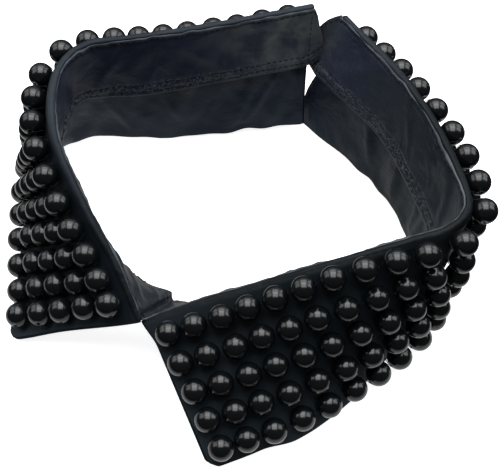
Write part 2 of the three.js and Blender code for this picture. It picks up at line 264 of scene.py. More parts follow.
@dataclass(frozen=True)
class HalfLines:
    """Fold, lower edge of the leaf and lower edge of the band of one half, as smooth lines."""

    stations: tuple[Station, ...]
    side: Side

    @property
    def columns(self) -> Array:
        """Column of every station."""
        return np.array([s.column for s in self.stations], float)

    def _lines(self) -> tuple[Array, Array, Array]:
        """Places of the stations in the frame.

        Returns:
            The points of the fold, of the leaf's foot and of the band's foot.
        """
        names = ("fold", "foot", "band")
        fold, foot, band = (np.array([getattr(s, name) for s in self.stations], float) for name in names)
        lift = np.array([s.lift for s in self.stations])
        depth = np.array([s.depth for s in self.stations])
        top = lift + np.sqrt(depth**2 - ((fold - foot) ** 2).sum(1))
        low = top - np.sqrt(BAND_HEIGHT**2 - ((fold - band) ** 2).sum(1))
        lines = (np.column_stack([fold, top]), np.column_stack([foot, lift]), np.column_stack([band, low]))
        return tuple(line + TABLE_SHIFT for line in lines)

    def place_of(self, column: Array) -> Array:
        """Turns columns of beads into places along the half.

        Args:
            column: Places counted in columns of beads.

        Returns:
            The same places, counted from 0 to 1.
        """
        columns = self.columns
        last = len(columns) - 1
        i = np.clip(np.searchsorted(columns, column, side="right"), 1, last) - 1
        return (i + (column - columns[i]) / (columns[i + 1] - columns[i])) / last

    def evenly(self, pitch: float) -> Array:
        """Even places along the half.

        Args:
            pitch: About how far apart they lie on the fold.

        Returns:
            The places, counted from 0 to 1.
        """
        u = np.linspace(0, 1, 800)
        run = distances_along(smooth_line(self._lines()[0], u))
        count = int(round(run[-1] / pitch)) + 1
        return np.interp(np.linspace(0, run[-1], count), run, u)

    def at(self, u: Array) -> Sections:
        """Sections at places along the half.

        Args:
            u: Places from 0 at the front edge of the wing to 1 at the back of the neck.

        Returns:
            The sections, in the order of the places.
        """
        fold, foot, band = self._lines()
        sign = self.side.value
        top = smooth_line(fold, u)
        down = smooth_line(foot, u) - top
        depth = np.linalg.norm(down, axis=1)
        down = unit(down)
        band_down = unit(smooth_line(band, u) - top)
        fold_tangent = line_direction(fold, u)
        foot_tangent = line_direction(foot, u)
        sizes = np.array([(s.swell, s.head) for s in self.stations], float)
        swell, head = (np.interp(u * (len(sizes) - 1), np.arange(len(sizes)), size) for size in sizes.T)
        return Sections(
            top=top,
            down=down,
            depth=depth,
            swell=swell,
            head=head,
            band_down=band_down,
            outward=unit(np.cross(down, fold_tangent)) * sign,
            foot_out=unit(np.cross(down, foot_tangent)) * sign,
            inward=unit(np.cross(fold_tangent, band_down)) * sign,
            fold_tangent=fold_tangent,
            foot_tangent=foot_tangent,
        )


@dataclass(frozen=True)
class Ripple:
    """Smooth, seeded swells of cloth, as a sum of plane waves over its length and width."""

    seed: int
    length: float
    width: float
    height: float
    waves: int = 14

    def at(self, along: Array, across: Array) -> Array:
        """Height of the cloth.

        Args:
            along: Distances along the cloth.
            across: Distances across the cloth.

        Returns:
            The height at each place, mostly between minus and plus the ripple's own height.
        """
        rng = np.random.default_rng(self.seed)
        total = np.zeros(np.broadcast(along, across).shape)
        for _ in range(self.waves):
            scale = rng.uniform(0.6, 1.7)
            turn = rng.uniform(-1, 1)
            lengthwise = math.sqrt(1 - turn * turn) * 2 * math.pi / (self.length * scale)
            crosswise = turn * 2 * math.pi / (self.width * scale)
            total = total + np.sin(along * lengthwise + across * crosswise + rng.uniform(0, 2 * math.pi))
        return total * self.height / math.sqrt(self.waves)


@dataclass(frozen=True)
class Crease:
    """One soft ridge or dent of cloth between two places, given along and across it."""

    start: tuple[float, float]
    end: tuple[float, float]
    width: float
    height: float

    def at(self, along: Array, across: Array) -> Array:
        """Height of the crease.

        Args:
            along: Distances along the cloth.
            across: Distances across the cloth.

        Returns:
            The height that it adds at each place.
        """
        a, b = np.array(self.start), np.array(self.end)
        run = b - a
        x, y = along - a[0], across - a[1]
        share = np.clip((x * run[0] + y * run[1]) / (run @ run), 0, 1)
        off = np.hypot(x - share * run[0], y - share * run[1])
        fade = np.sin(np.pi * np.clip(share, 0.08, 0.92)) ** 0.6
        return self.height * fade * bell(off, 0.0, self.width)


def window(value: Array, low: float, high: float, soft: float) -> Array:
    """Mask with soft ends.

    Args:
        value: The values that it is taken at.
        low: Where it begins.
        high: Where it ends.
        soft: How far inside these limits it is full.

    Returns:
        The mask, from 0 outside the limits to 1 between them.
    """
    rise = np.clip((value - low) / soft, 0, 1)
    fall = np.clip((high - value) / soft, 0, 1)
    both = np.minimum(rise, fall)
    return both * both * (3 - 2 * both)


def eased(value: Array) -> Array:
    """Smooth step from 0 to 1 as a value goes from 0 to 1."""
    part = np.clip(value, 0, 1)
    return part * part * (3 - 2 * part)


def bell(value: Array, middle: float, width: float) -> Array:
    """Smooth hump that is 1 at its middle and falls off within about its width."""
    return np.exp(-(((value - middle) / width) ** 2))


def seam_waver(places: Array) -> Array:
    """Waver of the neck seam, the same for leaf and band.

    Args:
        places: Points on the fold.

    Returns:
        How far the seam wanders down from its line at each.
    """
    along = places[:, 0] * 0.8 + places[:, 1] * 0.6
    across = places[:, 1] * 0.8 - places[:, 0] * 0.6
    broad = Ripple(seed=61, length=19, width=19, height=0.34).at(along, across)
    fine = Ripple(seed=62, length=6.5, width=6.5, height=0.17).at(along, across)
    return np.clip(broad + fine, -0.6, 0.75)


def rounded_corner(along: Array, up: Array, radius: float) -> tuple[Array, Array]:
    """Moves that round off the corner where two straight edges of a cloth meet.

    Args:
        along: Distance of each place from the one edge.
        up: Distance of each place from the other edge.
        radius: Radius of the rounded corner.

    Returns:
        How far each place moves away from the one edge and from the other.
    """
    p, q = np.clip(1 - along / radius, 0, 1), np.clip(1 - up / radius, 0, 1)
    return radius * p * (1 - np.sqrt(1 - q * q / 2)), radius * q * (1 - np.sqrt(1 - p * p / 2))


class ClothSheet:
    """Closed doubled cloth between a grid of its face and one of its back, with a rounded rim all round."""

    RIM_STEPS = 4
    BACK_UV = 0.5  # how far above the face the back lies on the UV map
    RIM_UV = 0.3  # height on the map at which the rim's strips begin
    RIM_STRIP = 0.002  # height of one strip on the map
    RIM_SHRINK = 3  # how much shorter than the cloth the strips are
    RIM_CLOSING = 0.001  # length of a strip's last face on the map

    def __init__(self, face: Array, back: Array, along: Array, across: Array, plain: int) -> None:
        """Keeps the two grids.

        Args:
            face: Points of the face, with a row for each place along the cloth.
            back: Points of the back, paired with those of the face.
            along: Distance along the cloth of each row.
            across: Distance across the cloth of each point.
            plain: Number of points across the face, from its lower edge, before its top with painted light
                and shade begins.
        """
        self.face = face
        self.back = back
        self.along = np.broadcast_to(along[:, None], across.shape)
        self.across = across
        self.plain = plain

    @property
    def flat(self) -> tuple[float, float]:
        """Width and length of the flat cloth, in metres."""
        return self.across.max() * MM, self.along.max() * MM

    def _border(self) -> tuple[Array, Array]:
        """Border of the grid.

        Returns:
            The grid places of the border in order, and those of the neighbour inside each.
        """
        n, m = self.face.shape[:2]
        ring = [(i, 0) for i in range(n - 1)] + [(n - 1, j) for j in range(m - 1)]
        ring += [(i, m - 1) for i in range(n - 1, 0, -1)] + [(0, j) for j in range(m - 1, 0, -1)]
        inside = [(min(max(i, 1), n - 2), min(max(j, 1), m - 2)) for i, j in ring]
        return np.array(ring), np.array(inside)

    def _rims(self, ring: Array, inside: Array) -> tuple[list[Array], Array]:
        """Rounded edge of the cloth.

        Args:
            ring: Grid places of the border in order.
            inside: Grid places of the neighbours inside them.

        Returns:
            The lines of points between the face and the back, and the middle line of the border.
        """
        f, b = (grid[ring[:, 0], ring[:, 1]] for grid in (self.face, self.back))
        inner = sum(grid[inside[:, 0], inside[:, 1]] for grid in (self.face, self.back)) / 2
        middle, half = (f + b) / 2, (f - b) / 2
        reach = np.linalg.norm(half, axis=1, keepdims=True)
        away = middle - inner
        away = unit(away - half * ((away * half).sum(1, keepdims=True) / np.maximum(reach**2, 1e-9)))
        angles = [math.pi * k / self.RIM_STEPS for k in range(1, self.RIM_STEPS)]
        return [middle + half * math.cos(a) + away * reach * math.sin(a) for a in angles], middle

    def _uv(self, quads: Array, middle: Array) -> Array:
        """Places of the faces' corners on the UV map.

        Args:
            quads: Faces of the grid, as numbers of points.
            middle: Middle line of the border.

        Returns:
            The places on the face, then on the back and on the strips of the rim, which lie above the face.
        """
        flat = np.stack([self.along, self.across], -1).reshape(-1, 2) / UV_SPAN
        behind = flat + np.array([0.0, self.BACK_UV])
        edge = distances_along(middle) / UV_SPAN / self.RIM_SHRINK
        ahead = np.append(edge[1:], edge[-1] + self.RIM_CLOSING)
        strips = []
        for k in range(self.RIM_STEPS):
            low = self.RIM_UV + self.RIM_STRIP * k
            high = low + self.RIM_STRIP
            corners = ((edge, low), (ahead, low), (ahead, high), (edge, high))
            strips.append(np.stack([np.stack([x, np.full(len(x), y)], -1) for x, y in corners], 1))
        return np.concatenate([flat[quads], behind[quads[:, ::-1]], *strips]).reshape(-1, 2)

    def _places(self, quads: int, border: int) -> Array:
        """Material places of the faces.

        Args:
            quads: Number of faces of the grid.
            border: Number of points round its border.

        Returns:
            The places on the face, on the back and on the strips of the rim, whose top edge takes the painted
            light and shade of the face's top.
        """
        n, m = self.face.shape[:2]
        # Painted light and shade: the roll and lip of each leaf and the top edge of the band take a copy of
        # the satin in other tones.
        painted_top = np.tile(np.arange(m - 1) >= self.plain - 1, n - 1)
        face = np.where(painted_top, Surface.PAINTED_TOP.value, Surface.FACE.value)
        back = np.full(quads, Surface.BACK.value)
        rim = np.full((self.RIM_STEPS, border), Surface.FACE.value)
        rim[:, n + m - 2 : 2 * n + m - 3] = Surface.PAINTED_TOP.value
        return np.concatenate([face, back, rim.ravel()]).astype(np.int32)

    def mesh(self, name: str) -> bpy.types.Mesh:
        """Closed mesh of the cloth.

        Args:
            name: Name of the mesh.

        Returns:
            The mesh, smooth, with a UV map in the cloth's own lengths and a material place for each face.
        """
        n, m = self.face.shape[:2]
        ring, inside = self._border()
        rims, middle = self._rims(ring, inside)
        points = np.vstack([self.face.reshape(-1, 3), self.back.reshape(-1, 3), *rims])
        points[:, 2] = np.maximum(points[:, 2], 0.0)

        index = np.arange(n * m).reshape(n, m)
        quads = np.stack([index[:-1, :-1], index[1:, :-1], index[1:, 1:], index[:-1, 1:]], -1).reshape(-1, 4)
        border, count = index[ring[:, 0], ring[:, 1]], len(ring)
        between = [2 * n * m + k * count + np.arange(count) for k in range(len(rims))]
        lines = [border, *between, border + n * m]
        rim = [np.stack([a, np.roll(a, -1), np.roll(c, -1), c], -1) for a, c in zip(lines, lines[1:])]
        faces = np.vstack([quads, quads[:, ::-1] + n * m, *rim]).tolist()
        return smooth_mesh(name, points, faces, self._places(len(quads), count), self._uv(quads, middle))


def smooth_mesh(
    name: str, points: Array, faces: list, places: Array | None = None, uv: Array | None = None
) -> bpy.types.Mesh:
    """Closed mesh with smooth faces that look out.

    Args:
        name: Name of the mesh.
        points: Its points, in millimetres.
        faces: Its faces, as numbers of points.
        places: Material place of each face, if they aren't all the first.
        uv: Place of each face's corners on the UV map, if it has one.

    Returns:
        The mesh, in metres.
    """
    mesh = bpy.data.meshes.new(name)
    mesh.from_pydata((points * MM).tolist(), [], faces)
    if uv is not None:
        mesh.uv_layers.new(name="Cloth").data.foreach_set("uv", uv.astype(np.float32).ravel())
    if places is not None:
        mesh.polygons.foreach_set("material_index", places)
    mesh.polygons.foreach_set("use_smooth", np.ones(len(faces), bool))
    work = bmesh.new()
    work.from_mesh(mesh)
    bmesh.ops.recalc_face_normals(work, faces=work.faces)
    work.to_mesh(mesh)
    work.free()
    mesh.update()
    return mesh


def add_piece(name: str, mesh: bpy.types.Mesh, slot: str, *materials: bpy.types.Material) -> bpy.types.Object:
    """Puts a mesh in the scene as one piece of the collar.

    Args:
        name: Name of the piece.
        mesh: Its mesh, in place.
        slot: Name of a material slot, which is not used.
        materials: Its materials, in the order of the mesh's material places.

    Returns:
        The new object, riding on the collar's one body.
    """
    piece = bpy.data.objects.new(name, mesh)
    bpy.context.scene.collection.objects.link(piece)
    for material in materials:
        mesh.materials.append(material)
    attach(piece, "root")
    LOG.info("%s: %d faces", name, len(mesh.polygons))
    return piece


# Effects that several finishes share


class NodeTree:
    """Short way to add and join the nodes of a material or of a node group."""

    def __init__(self, tree: bpy.types.NodeTree) -> None:
        """Keeps the tree that the nodes go into."""
        self.tree = tree

    def node(self, kind: str, **values: object) -> bpy.types.Node:
        """Adds a node.

        Args:
            kind: The node's Blender type.
            values: Its properties, or its inputs' values, by name with spaces as underscores.

        Returns:
            The new node.
        """
        made = self.tree.nodes.new(kind)
        for name, value in values.items():
            if hasattr(made, name):
                setattr(made, name, value)
            else:
                made.inputs[name.replace("_", " ")].default_value = value
        return made

    def join(self, source: Socket, target: Socket) -> None:
        """Joins an output to an input."""
        self.tree.links.new(source, target)

    def place(self) -> Socket:
        """Place in the collar's own frame."""
        return self.node("ShaderNodeTexCoord").outputs["Object"]

    def cloth_place(self) -> Socket:
        """Place on the flat cloth, by its UV map."""
        return self.node("ShaderNodeUVMap", uv_map="Cloth").outputs[0]

    def texture(self, kind: str, place: Socket, **values: object) -> bpy.types.Node:
        """Adds a texture.

        Args:
            kind: The node's Blender type.
            place: The place that lays it out.
            values: Its properties and its inputs' values.

        Returns:
            The new node.
        """
        made = self.node(kind, **values)
        self.join(place, made.inputs["Vector"])
        return made

    def group(self, name: str, **values: float) -> bpy.types.Node:
        """Places a node group by its name, with values for its inputs."""
        return self.node("ShaderNodeGroup", node_tree=bpy.data.node_groups[name], **values)

    def mix(self, mask: Socket, low: Socket | Colour, high: Socket | Colour) -> Socket:
        """Mixes two colours.

        Args:
            mask: How far the mix goes from the one to the other.
            low: Colour where the mask is 0.
            high: Colour where it is 1.

        Returns:
            The mixed colour.
        """
        made = self.node("ShaderNodeMix", data_type="RGBA")
        for colour, target in ((low, made.inputs[6]), (high, made.inputs[7])):
            if isinstance(colour, tuple):
                target.default_value = (*colour, 1)
            else:
                self.join(colour, target)
        self.join(mask, made.inputs[0])
        return made.outputs[2]

    def between(self, mask: Socket, low: float, high: float) -> Socket:
        """Value between two values.

        Args:
            mask: How far it goes from the one to the other.
            low: Value where the mask is 0.
            high: Value where it is 1.

        Returns:
            The value.
        """
        made = self.node("ShaderNodeMapRange", To_Min=low, To_Max=high)
        self.join(mask, made.inputs["Value"])
        return made.outputs["Result"]

    def rise(self, value: Socket, low: float, high: float, top: float = 1.0) -> Socket:
        """Smooth mask that climbs with a value.

        Args:
            value: The value.
            low: Where the mask is 0.
            high: Where it is at its top.
            top: Its highest value.

        Returns:
            The mask.
        """
        ends = {"From_Min": low, "From_Max": high, "To_Max": top}
        made = self.node("ShaderNodeMapRange", interpolation_type="SMOOTHSTEP", **ends)
        self.join(value, made.inputs["Value"])
        return made.outputs["Result"]

    def math(self, operation: str, a: Socket, b: Socket | float) -> Socket:
        """Adds one sum.

        Args:
            operation: Its Blender name.
            a: Its first value.
            b: Its second value, or a number in its place.

        Returns:
            The result.
        """
        made = self.node("ShaderNodeMath", operation=operation)
        self.join(a, made.inputs[0])
        if isinstance(b, (int, float)):
            made.inputs[1].default_value = b
        else:
            self.join(b, made.inputs[1])
        return made.outputs[0]

    def bump(
        self,
        height: Socket,
        strength: float,
        distance: float,
        below: Socket | None = None,
        invert: bool = False,
    ) -> Socket:
        """Normal of a surface with some relief.

        Args:
            height: Height of the relief, from 0 to 1.
            strength: Strength of the relief.
            distance: Its height, in millimetres.
            below: Normal of the relief that it lies on, if there is one.
            invert: Whether it goes down instead of up.

        Returns:
            The normal.
        """
        made = self.node("ShaderNodeBump", Strength=strength, Distance=distance * MM, invert=invert)
        self.join(height, made.inputs["Height"])
        if below is not None:
            self.join(below, made.inputs["Normal"])
        return made.outputs["Normal"]


def new_group(
    name: str, inputs: dict[str, float], outputs: tuple[str, ...]
) -> tuple[NodeTree, dict[str, Socket], bpy.types.Node]:
    """Starts a shader node group with value sockets.

    Args:
        name: The group's name.
        inputs: Its inputs' names and first values.
        outputs: Its outputs' names.

    Returns:
        The tree, its input sockets by name, and the node that takes its outputs.
    """
    group = bpy.data.node_groups.new(name, "ShaderNodeTree")
    for socket, value in inputs.items():
        made = group.interface.new_socket(socket, in_out="INPUT", socket_type="NodeSocketFloat")
        made.default_value = value
    for socket in outputs:
        group.interface.new_socket(socket, in_out="OUTPUT", socket_type="NodeSocketFloat")
    tree = NodeTree(group)
    entry = tree.node("NodeGroupInput")
    end = tree.node("NodeGroupOutput")
    return tree, {socket: entry.outputs[socket] for socket in inputs}, end


def build_satin_weave() -> None:
    """Builds the group with the floats and cross threads of a satin weave, as a height and a mask."""
    tree, entry, end = new_group("satin_weave", {"Threads": 1600.0, "Slub": 0.5}, ("Height", "Threads"))
    flat = tree.cloth_place()
    heights = []
    for axis, share in (("X", 1.0), ("Y", CROSS_THREADS)):
        bands = {"wave_type": "BANDS", "bands_direction": axis}
        wave = tree.texture("ShaderNodeTexWave", flat, **bands, Distortion=1.2, Detail=1.0)
        tree.join(tree.math("MULTIPLY", entry["Threads"], share * WAVES_PER_THREAD), wave.inputs["Scale"])
        heights.append(tree.math("MULTIPLY", wave.outputs["Fac"], share))
    stretch = tree.texture("ShaderNodeMapping", flat, vector_type="POINT", Scale=SLUB_STRETCH)
    slub = tree.texture("ShaderNodeTexNoise", stretch.outputs[0], Scale=1.0, Detail=3.0, Roughness=0.6)
    threads = tree.math("ADD", heights[0], heights[1])
    uneven = tree.math("MULTIPLY", slub.outputs["Fac"], entry["Slub"])
    tree.join(tree.math("ADD", threads, uneven), end.inputs["Height"])
    tree.join(slub.outputs["Fac"], end.inputs["Threads"])


def build_soft_rumple() -> None:
    """Builds the group with the soft rumples of pressed cloth, as a height and two masks."""
    tree, entry, end = new_group("soft_rumple", {"Size": 90.0, "Broad": 22.0}, ("Height", "Tone", "Cloud"))
    place = tree.place()
    small = tree.texture("ShaderNodeTexNoise", place, Detail=4.0, Roughness=0.55, Distortion=0.4)
    broad = tree.texture("ShaderNodeTexNoise", place, Detail=2.0, Roughness=0.5, Distortion=0.8)
    for noise, scale, mask in ((small, "Size", "Cloud"), (broad, "Broad", "Tone")):
        tree.join(entry[scale], noise.inputs["Scale"])
        tree.join(tree.rise(noise.outputs["Fac"], *CLOUD_EDGES), end.inputs[mask])
    tree.join(small.outputs["Fac"], end.inputs["Height"])


def build_fine_dust() -> None:
    """Builds the group with sparse specks of dust and broad smears, as masks."""
    tree, entry, end = new_group("fine_dust", {"Specks": 900.0, "Rarity": 0.1}, ("Specks", "Smear"))
    place = tree.place()
    cells = tree.texture("ShaderNodeTexVoronoi", place, feature="F1", Randomness=1.0)
    smear = tree.texture("ShaderNodeTexNoise", place, Scale=160.0, Detail=5.0, Roughness=0.62)
    tree.join(entry["Specks"], cells.inputs["Scale"])
    tree.join(tree.math("LESS_THAN", cells.outputs["Distance"], entry["Rarity"]), end.inputs["Specks"])
    tree.join(smear.outputs["Fac"], end.inputs["Smear"])


def start_material(name: str) -> tuple[bpy.types.Material, NodeTree, bpy.types.Node]:
    """Starts a material.

    Args:
        name: The material's name.

    Returns:
        The material, its node tree and its Principled shader.
    """
    material = bpy.data.materials.new(name)
    material.use_nodes = True
    shader = next(n for n in material.node_tree.nodes if n.type == "BSDF_PRINCIPLED")
    return material, NodeTree(material.node_tree), shader


# Finishes


@dataclass(frozen=True)
class SatinFinish:
    """Blue-black satin.

    left and right are its darkest and lightest tones on the two sides of the collar. The one cloth takes
    other tones on its two sides as painted light and shade, for how each side is lit, and the cloud between
    the darkest and the lightest tone is partly the satin's own uneven tone and partly painted sheen. split
    says where the
    one turns into the other: a slant, and the places along X plus slant times Y between which they blend.
    strip is a tone along the cloth that paints in light or shade: painted light over the beaded face, painted
    shade on the lining under the band's lower edge, and painted glints along the band's puckered hem.
    strip_at is the strip's middle and half its width, counted on the UV map in millimetres of cloth, and its
    strength.
    strip_core is the share of its width where it is full. pale_patch is the tone of a paler, cloudy patch,
    full in the first reach and gone at the second. weave_relief is a strength and a height.
    """

    name: str
    left: tuple[Colour, Colour]
    right: tuple[Colour, Colour]
    roughness: tuple[float, float]
    rumple_height: float
    rumple_strength: float = 0.8
    sheen: float = 0.0
    sheen_roughness: float = 0.35
    gloss: float = 0.3
    tint: Colour = (0.78, 0.89, 1.0)
    broad: float = 22.0
    threads: float = 1600.0
    weave_relief: tuple[float, float] = (0.5, 0.02)
    split: tuple[float, float, float] = (-0.8, -60.0, 20.0)
    strip: Colour | None = None
    strip_at: tuple[float, float, float] = (0.0, 1.0, 0.0)
    strip_core: float = 0.55
    strip_speckle: float = 0.0
    pale_patch: Colour | None = None
    pale_patch_at: tuple[float, float, float] = (-20.0, 68.0, 42.0)
    pale_patch_reach: tuple[float, float] = (6.0, 34.0)
    pale_patch_least: float = 0.12

    def rightness(self, tree: NodeTree) -> Socket:
        """Mask of the right side.

        Args:
            tree: The material's nodes.

        Returns:
            The mask, 0 on the left side and 1 on the right side.
        """
        slant, low, high = self.split
        way = tree.node("ShaderNodeVectorMath", operation="DOT_PRODUCT")
        way.inputs[1].default_value = (1.0, slant, 0.0)
        tree.join(tree.place(), way.inputs[0])
        return tree.rise(way.outputs["Value"], low * MM, high * MM)

    def strip_mask(self, tree: NodeTree) -> Socket:
        """Mask of the strip.

        Args:
            tree: The material's nodes.

        Returns:
            The mask, soft at its edges and speckled with painted glints if the strip has a speckle scale.
        """
        middle, half, strength = self.strip_at
        flat = tree.node("ShaderNodeSeparateXYZ")
        tree.join(tree.cloth_place(), flat.inputs[0])
        off = tree.math("ABSOLUTE", tree.math("SUBTRACT", flat.outputs["Y"], middle / UV_SPAN), 0.0)
        strip = tree.rise(off, half / UV_SPAN, half * self.strip_core / UV_SPAN, strength)
        if not self.strip_speckle:
            return strip
        speckles = {"Scale": self.strip_speckle, "Detail": 2.0, "Roughness": 0.6}
        speckle = tree.texture("ShaderNodeTexNoise", tree.place(), **speckles)
        return tree.math("MULTIPLY", strip, tree.rise(speckle.outputs["Fac"], *SPECKLE_EDGES))

    def pale_patch_mask(self, tree: NodeTree, cloud: Socket) -> Socket:
        """Mask of the paler patch.

        Args:
            tree: The material's nodes.
            cloud: Mask that makes it cloudy.

        Returns:
            The mask.
        """
        away = tree.node("ShaderNodeVectorMath", operation="DISTANCE")
        away.inputs[1].default_value = tuple(np.array(self.pale_patch_at) * MM)
        tree.join(tree.place(), away.inputs[0])
        full, reach = self.pale_patch_reach
        near = tree.rise(away.outputs["Value"], reach * MM, full * MM)
        return tree.math("MULTIPLY", near, tree.between(cloud, self.pale_patch_least, 1.0))

    def material(self) -> bpy.types.Material:
        """Makes the finish.

        Returns:
            The material of the cloth.
        """
        material, tree, shader = start_material(self.name)
        weave = tree.group("satin_weave", Threads=self.threads)
        rumple = tree.group("soft_rumple", Broad=self.broad)
        # Painted sheen, in part: each side's tone clouds between its darkest and lightest. Painted light and
        # shade: the two sides differ in tone for how each is lit.
        sides = [tree.mix(rumple.outputs["Tone"], *tones) for tones in (self.left, self.right)]
        tone = tree.mix(self.rightness(tree), *sides)
        if self.strip:
            tone = tree.mix(self.strip_mask(tree), tone, self.strip)
        if self.pale_patch:
            tone = tree.mix(self.pale_patch_mask(tree, rumple.outputs["Cloud"]), tone, self.pale_patch)
        tree.join(tone, shader.inputs["Base Color"])
        tree.join(tree.between(weave.outputs["Threads"], *self.roughness), shader.inputs["Roughness"])
        shader.inputs["Sheen Weight"].default_value = self.sheen
        shader.inputs["Sheen Roughness"].default_value = self.sheen_roughness
        shader.inputs["Specular IOR Level"].default_value = self.gloss
        shader.inputs["Specular Tint"].default_value = (*self.tint, 1.0)
        fine = tree.bump(weave.outputs["Height"], *self.weave_relief)
        whole = tree.bump(rumple.outputs["Height"], self.rumple_strength, self.rumple_height, fine)
        tree.join(whole, shader.inputs["Normal"])
        return material


BEADED_SATIN = SatinFinish(
    "beaded_satin",
    left=((0.0095, 0.0135, 0.0175), (0.0145, 0.019, 0.0245)),
    right=((0.0062, 0.009, 0.011), (0.0105, 0.014, 0.016)),
    roughness=(0.5, 0.62),
    rumple_height=0.25,
    gloss=0.05,
    split=(0.0, -20.0, 40.0),
    # Painted light: the strip draws the beaded face lighter, to lift the shade that the beads cast on the
    # cloth between them.
    strip=(0.045, 0.06, 0.073),
    strip_at=(20.0, 28.0, 0.57),
)
LINING_SATIN = SatinFinish(
    "lining_satin",
    left=((0.0065, 0.011, 0.022), (0.02, 0.028, 0.046)),
    right=((0.0095, 0.013, 0.0165), (0.021, 0.026, 0.029)),
    roughness=(0.34, 0.46),
    rumple_height=1.3,
    sheen=0.02,
    # Painted shade: the strip darkens the lining in a band under the lower edge of the neck band, where shade
    # falls.
    strip=(0.003, 0.0045, 0.008),
    strip_at=(278.0, 8.0, 0.85),
)
BAND_SATIN = SatinFinish(
    "stand_satin",
    left=((0.0062, 0.0094, 0.0225), (0.0155, 0.021, 0.04)),
    right=((0.007, 0.01, 0.014), (0.016, 0.02, 0.024)),
    roughness=(0.34, 0.46),
    rumple_height=1.4,
    sheen=0.02,
    # Painted highlight: the speckled strip draws the puckered hem lighter, for the glints on its puckers.
    strip=(0.06, 0.066, 0.072),
    strip_at=(2.6, 3.4, 0.75),
    strip_speckle=1250.0,
    pale_patch=(0.11, 0.122, 0.122),
)
# Painted light and shade on the roll over the fold: a copy of the leaf's satin, lighter on the left and much
# darker on the right than on the beaded face, for how the roll is lit.
FOLD_SATIN = SatinFinish(
    "fold_satin",
    left=((0.013, 0.017, 0.024), (0.024, 0.029, 0.037)),
    right=((0.0028, 0.004, 0.0048), (0.006, 0.0075, 0.0088)),
    roughness=(0.4, 0.52),
    rumple_height=1.2,
    gloss=0.12,
)
# Painted highlight along the neck seam: a copy of the band's satin on the strip along its top edge, lighter
# than the band and most of all on the right, for the light line that the seam's ridge catches.
SEAM_HIGHLIGHT_SATIN = SatinFinish(
    "seam_highlight_satin",
    left=((0.012, 0.015, 0.02), (0.034, 0.04, 0.047)),
    right=((0.026, 0.03, 0.034), (0.07, 0.078, 0.082)),
    roughness=(0.34, 0.44),
    rumple_height=0.6,
    sheen=0.05,
    broad=70.0,
)


@dataclass(frozen=True)
class BeadFinish:
    """Polished black bead with faint smears and a few specks of dust.

    relief is the strength and the height of its unevenness.
    """

    name: str = "bead_gloss"
    colour: Colour = (0.0035, 0.0048, 0.006)
    dusty: Colour = (0.006, 0.007, 0.008)
    roughness: tuple[float, float] = (0.14, 0.22)
    bending: float = 1.5
    relief: tuple[float, float] = (0.25, 0.012)

    def material(self) -> bpy.types.Material:
        """Makes the finish.

        Returns:
            The material of the beads.
        """
        material, tree, shader = start_material(self.name)
        dust = tree.group("fine_dust")
        tree.join(tree.mix(dust.outputs["Specks"], self.colour, self.dusty), shader.inputs["Base Color"])
        tree.join(tree.between(dust.outputs["Smear"], *self.roughness), shader.inputs["Roughness"])
        shader.inputs["IOR"].default_value = self.bending
        tree.join(tree.bump(dust.outputs["Smear"], *self.relief), shader.inputs["Normal"])
        return material


@dataclass(frozen=True)
class ThreadFinish:
    """Twisted sewing thread.

    relief is the strength and the height of its twist.
    """

    name: str = "sewing_thread"
    dark: Colour = (0.003, 0.004, 0.006)
    light: Colour = (0.012, 0.014, 0.018)
    roughness: tuple[float, float] = (0.42, 0.6)
    gloss: float = 0.15
    relief: tuple[float, float] = (0.6, 0.05)

    def material(self) -> bpy.types.Material:
        """Makes the finish.

        Returns:
            The material of the thread.
        """
        material, tree, shader = start_material(self.name)
        bands = {"wave_type": "BANDS", "bands_direction": "DIAGONAL", "Scale": 1800.0, "Distortion": 2.0}
        twist = tree.texture("ShaderNodeTexWave", tree.place(), **bands).outputs["Fac"]
        tree.join(tree.mix(twist, self.dark, self.light), shader.inputs["Base Color"])
        tree.join(tree.between(twist, *self.roughness), shader.inputs["Roughness"])
        shader.inputs["Specular IOR Level"].default_value = self.gloss
        tree.join(tree.bump(twist, *self.relief), shader.inputs["Normal"])
        return material


@dataclass(frozen=True)
class PadFinish:
    """Looped tape of the closure.

    relief is the strength and the height of its loops.
    """

    name: str = "closure_loops"
    dark: Colour = (0.006, 0.006, 0.008)
    light: Colour = (0.022, 0.022, 0.026)
    roughness: tuple[float, float] = (0.7, 0.95)
    relief: tuple[float, float] = (0.9, 0.15)

    def material(self) -> bpy.types.Material:
        """Makes the finish.

        Returns:
            The material of the closure pad.
        """
        material, tree, shader = start_material(self.name)
        cells = tree.texture("ShaderNodeTexVoronoi", tree.place(), feature="F1", Scale=2600.0)
        loops = cells.outputs["Distance"]
        tree.join(tree.mix(loops, self.light, self.dark), shader.inputs["Base Color"])
        tree.join(tree.between(loops, *self.roughness), shader.inputs["Roughness"])
        tree.join(tree.bump(loops, *self.relief, invert=True), shader.inputs["Normal"])
        return material


# Pieces


def turned(start: Array, end: Array, angle: Array, turn: Array) -> Array:
    """Directions on the arcs from one direction to another.

    Args:
        start: Directions at which the arcs begin.
        end: Directions at which they end.
        angle: Angles of the whole arcs.
        turn: Angles from their starts.

    Returns:
        The directions, one long.
    """
    return (np.sin(angle - turn)[:, None] * start + np.sin(turn)[:, None] * end) / np.sin(angle)[:, None]


@dataclass(frozen=True)
class Reach:
    """How far the lower edge of a leaf moves between two distances from the front."""

    first: float
    last: float
    far: float

    def at(self, run: Array, soft: float) -> Array:
        """Move at each distance from the front, with a soft start and end."""
        return self.far * window(run, self.first, self.last, soft)[:, None]


@dataclass(frozen=True)
class LeafGrid:
    """Places on a leaf's walls: a row for each section, and in it a point for each step up to the roll."""

    sections: Sections
    run: Array
    share: Array
    up: Array

    @property
    def along(self) -> Array:
        """Distance of each point from the front, along the fold."""
        return np.broadcast_to(self.run[:, None], self.up.shape)


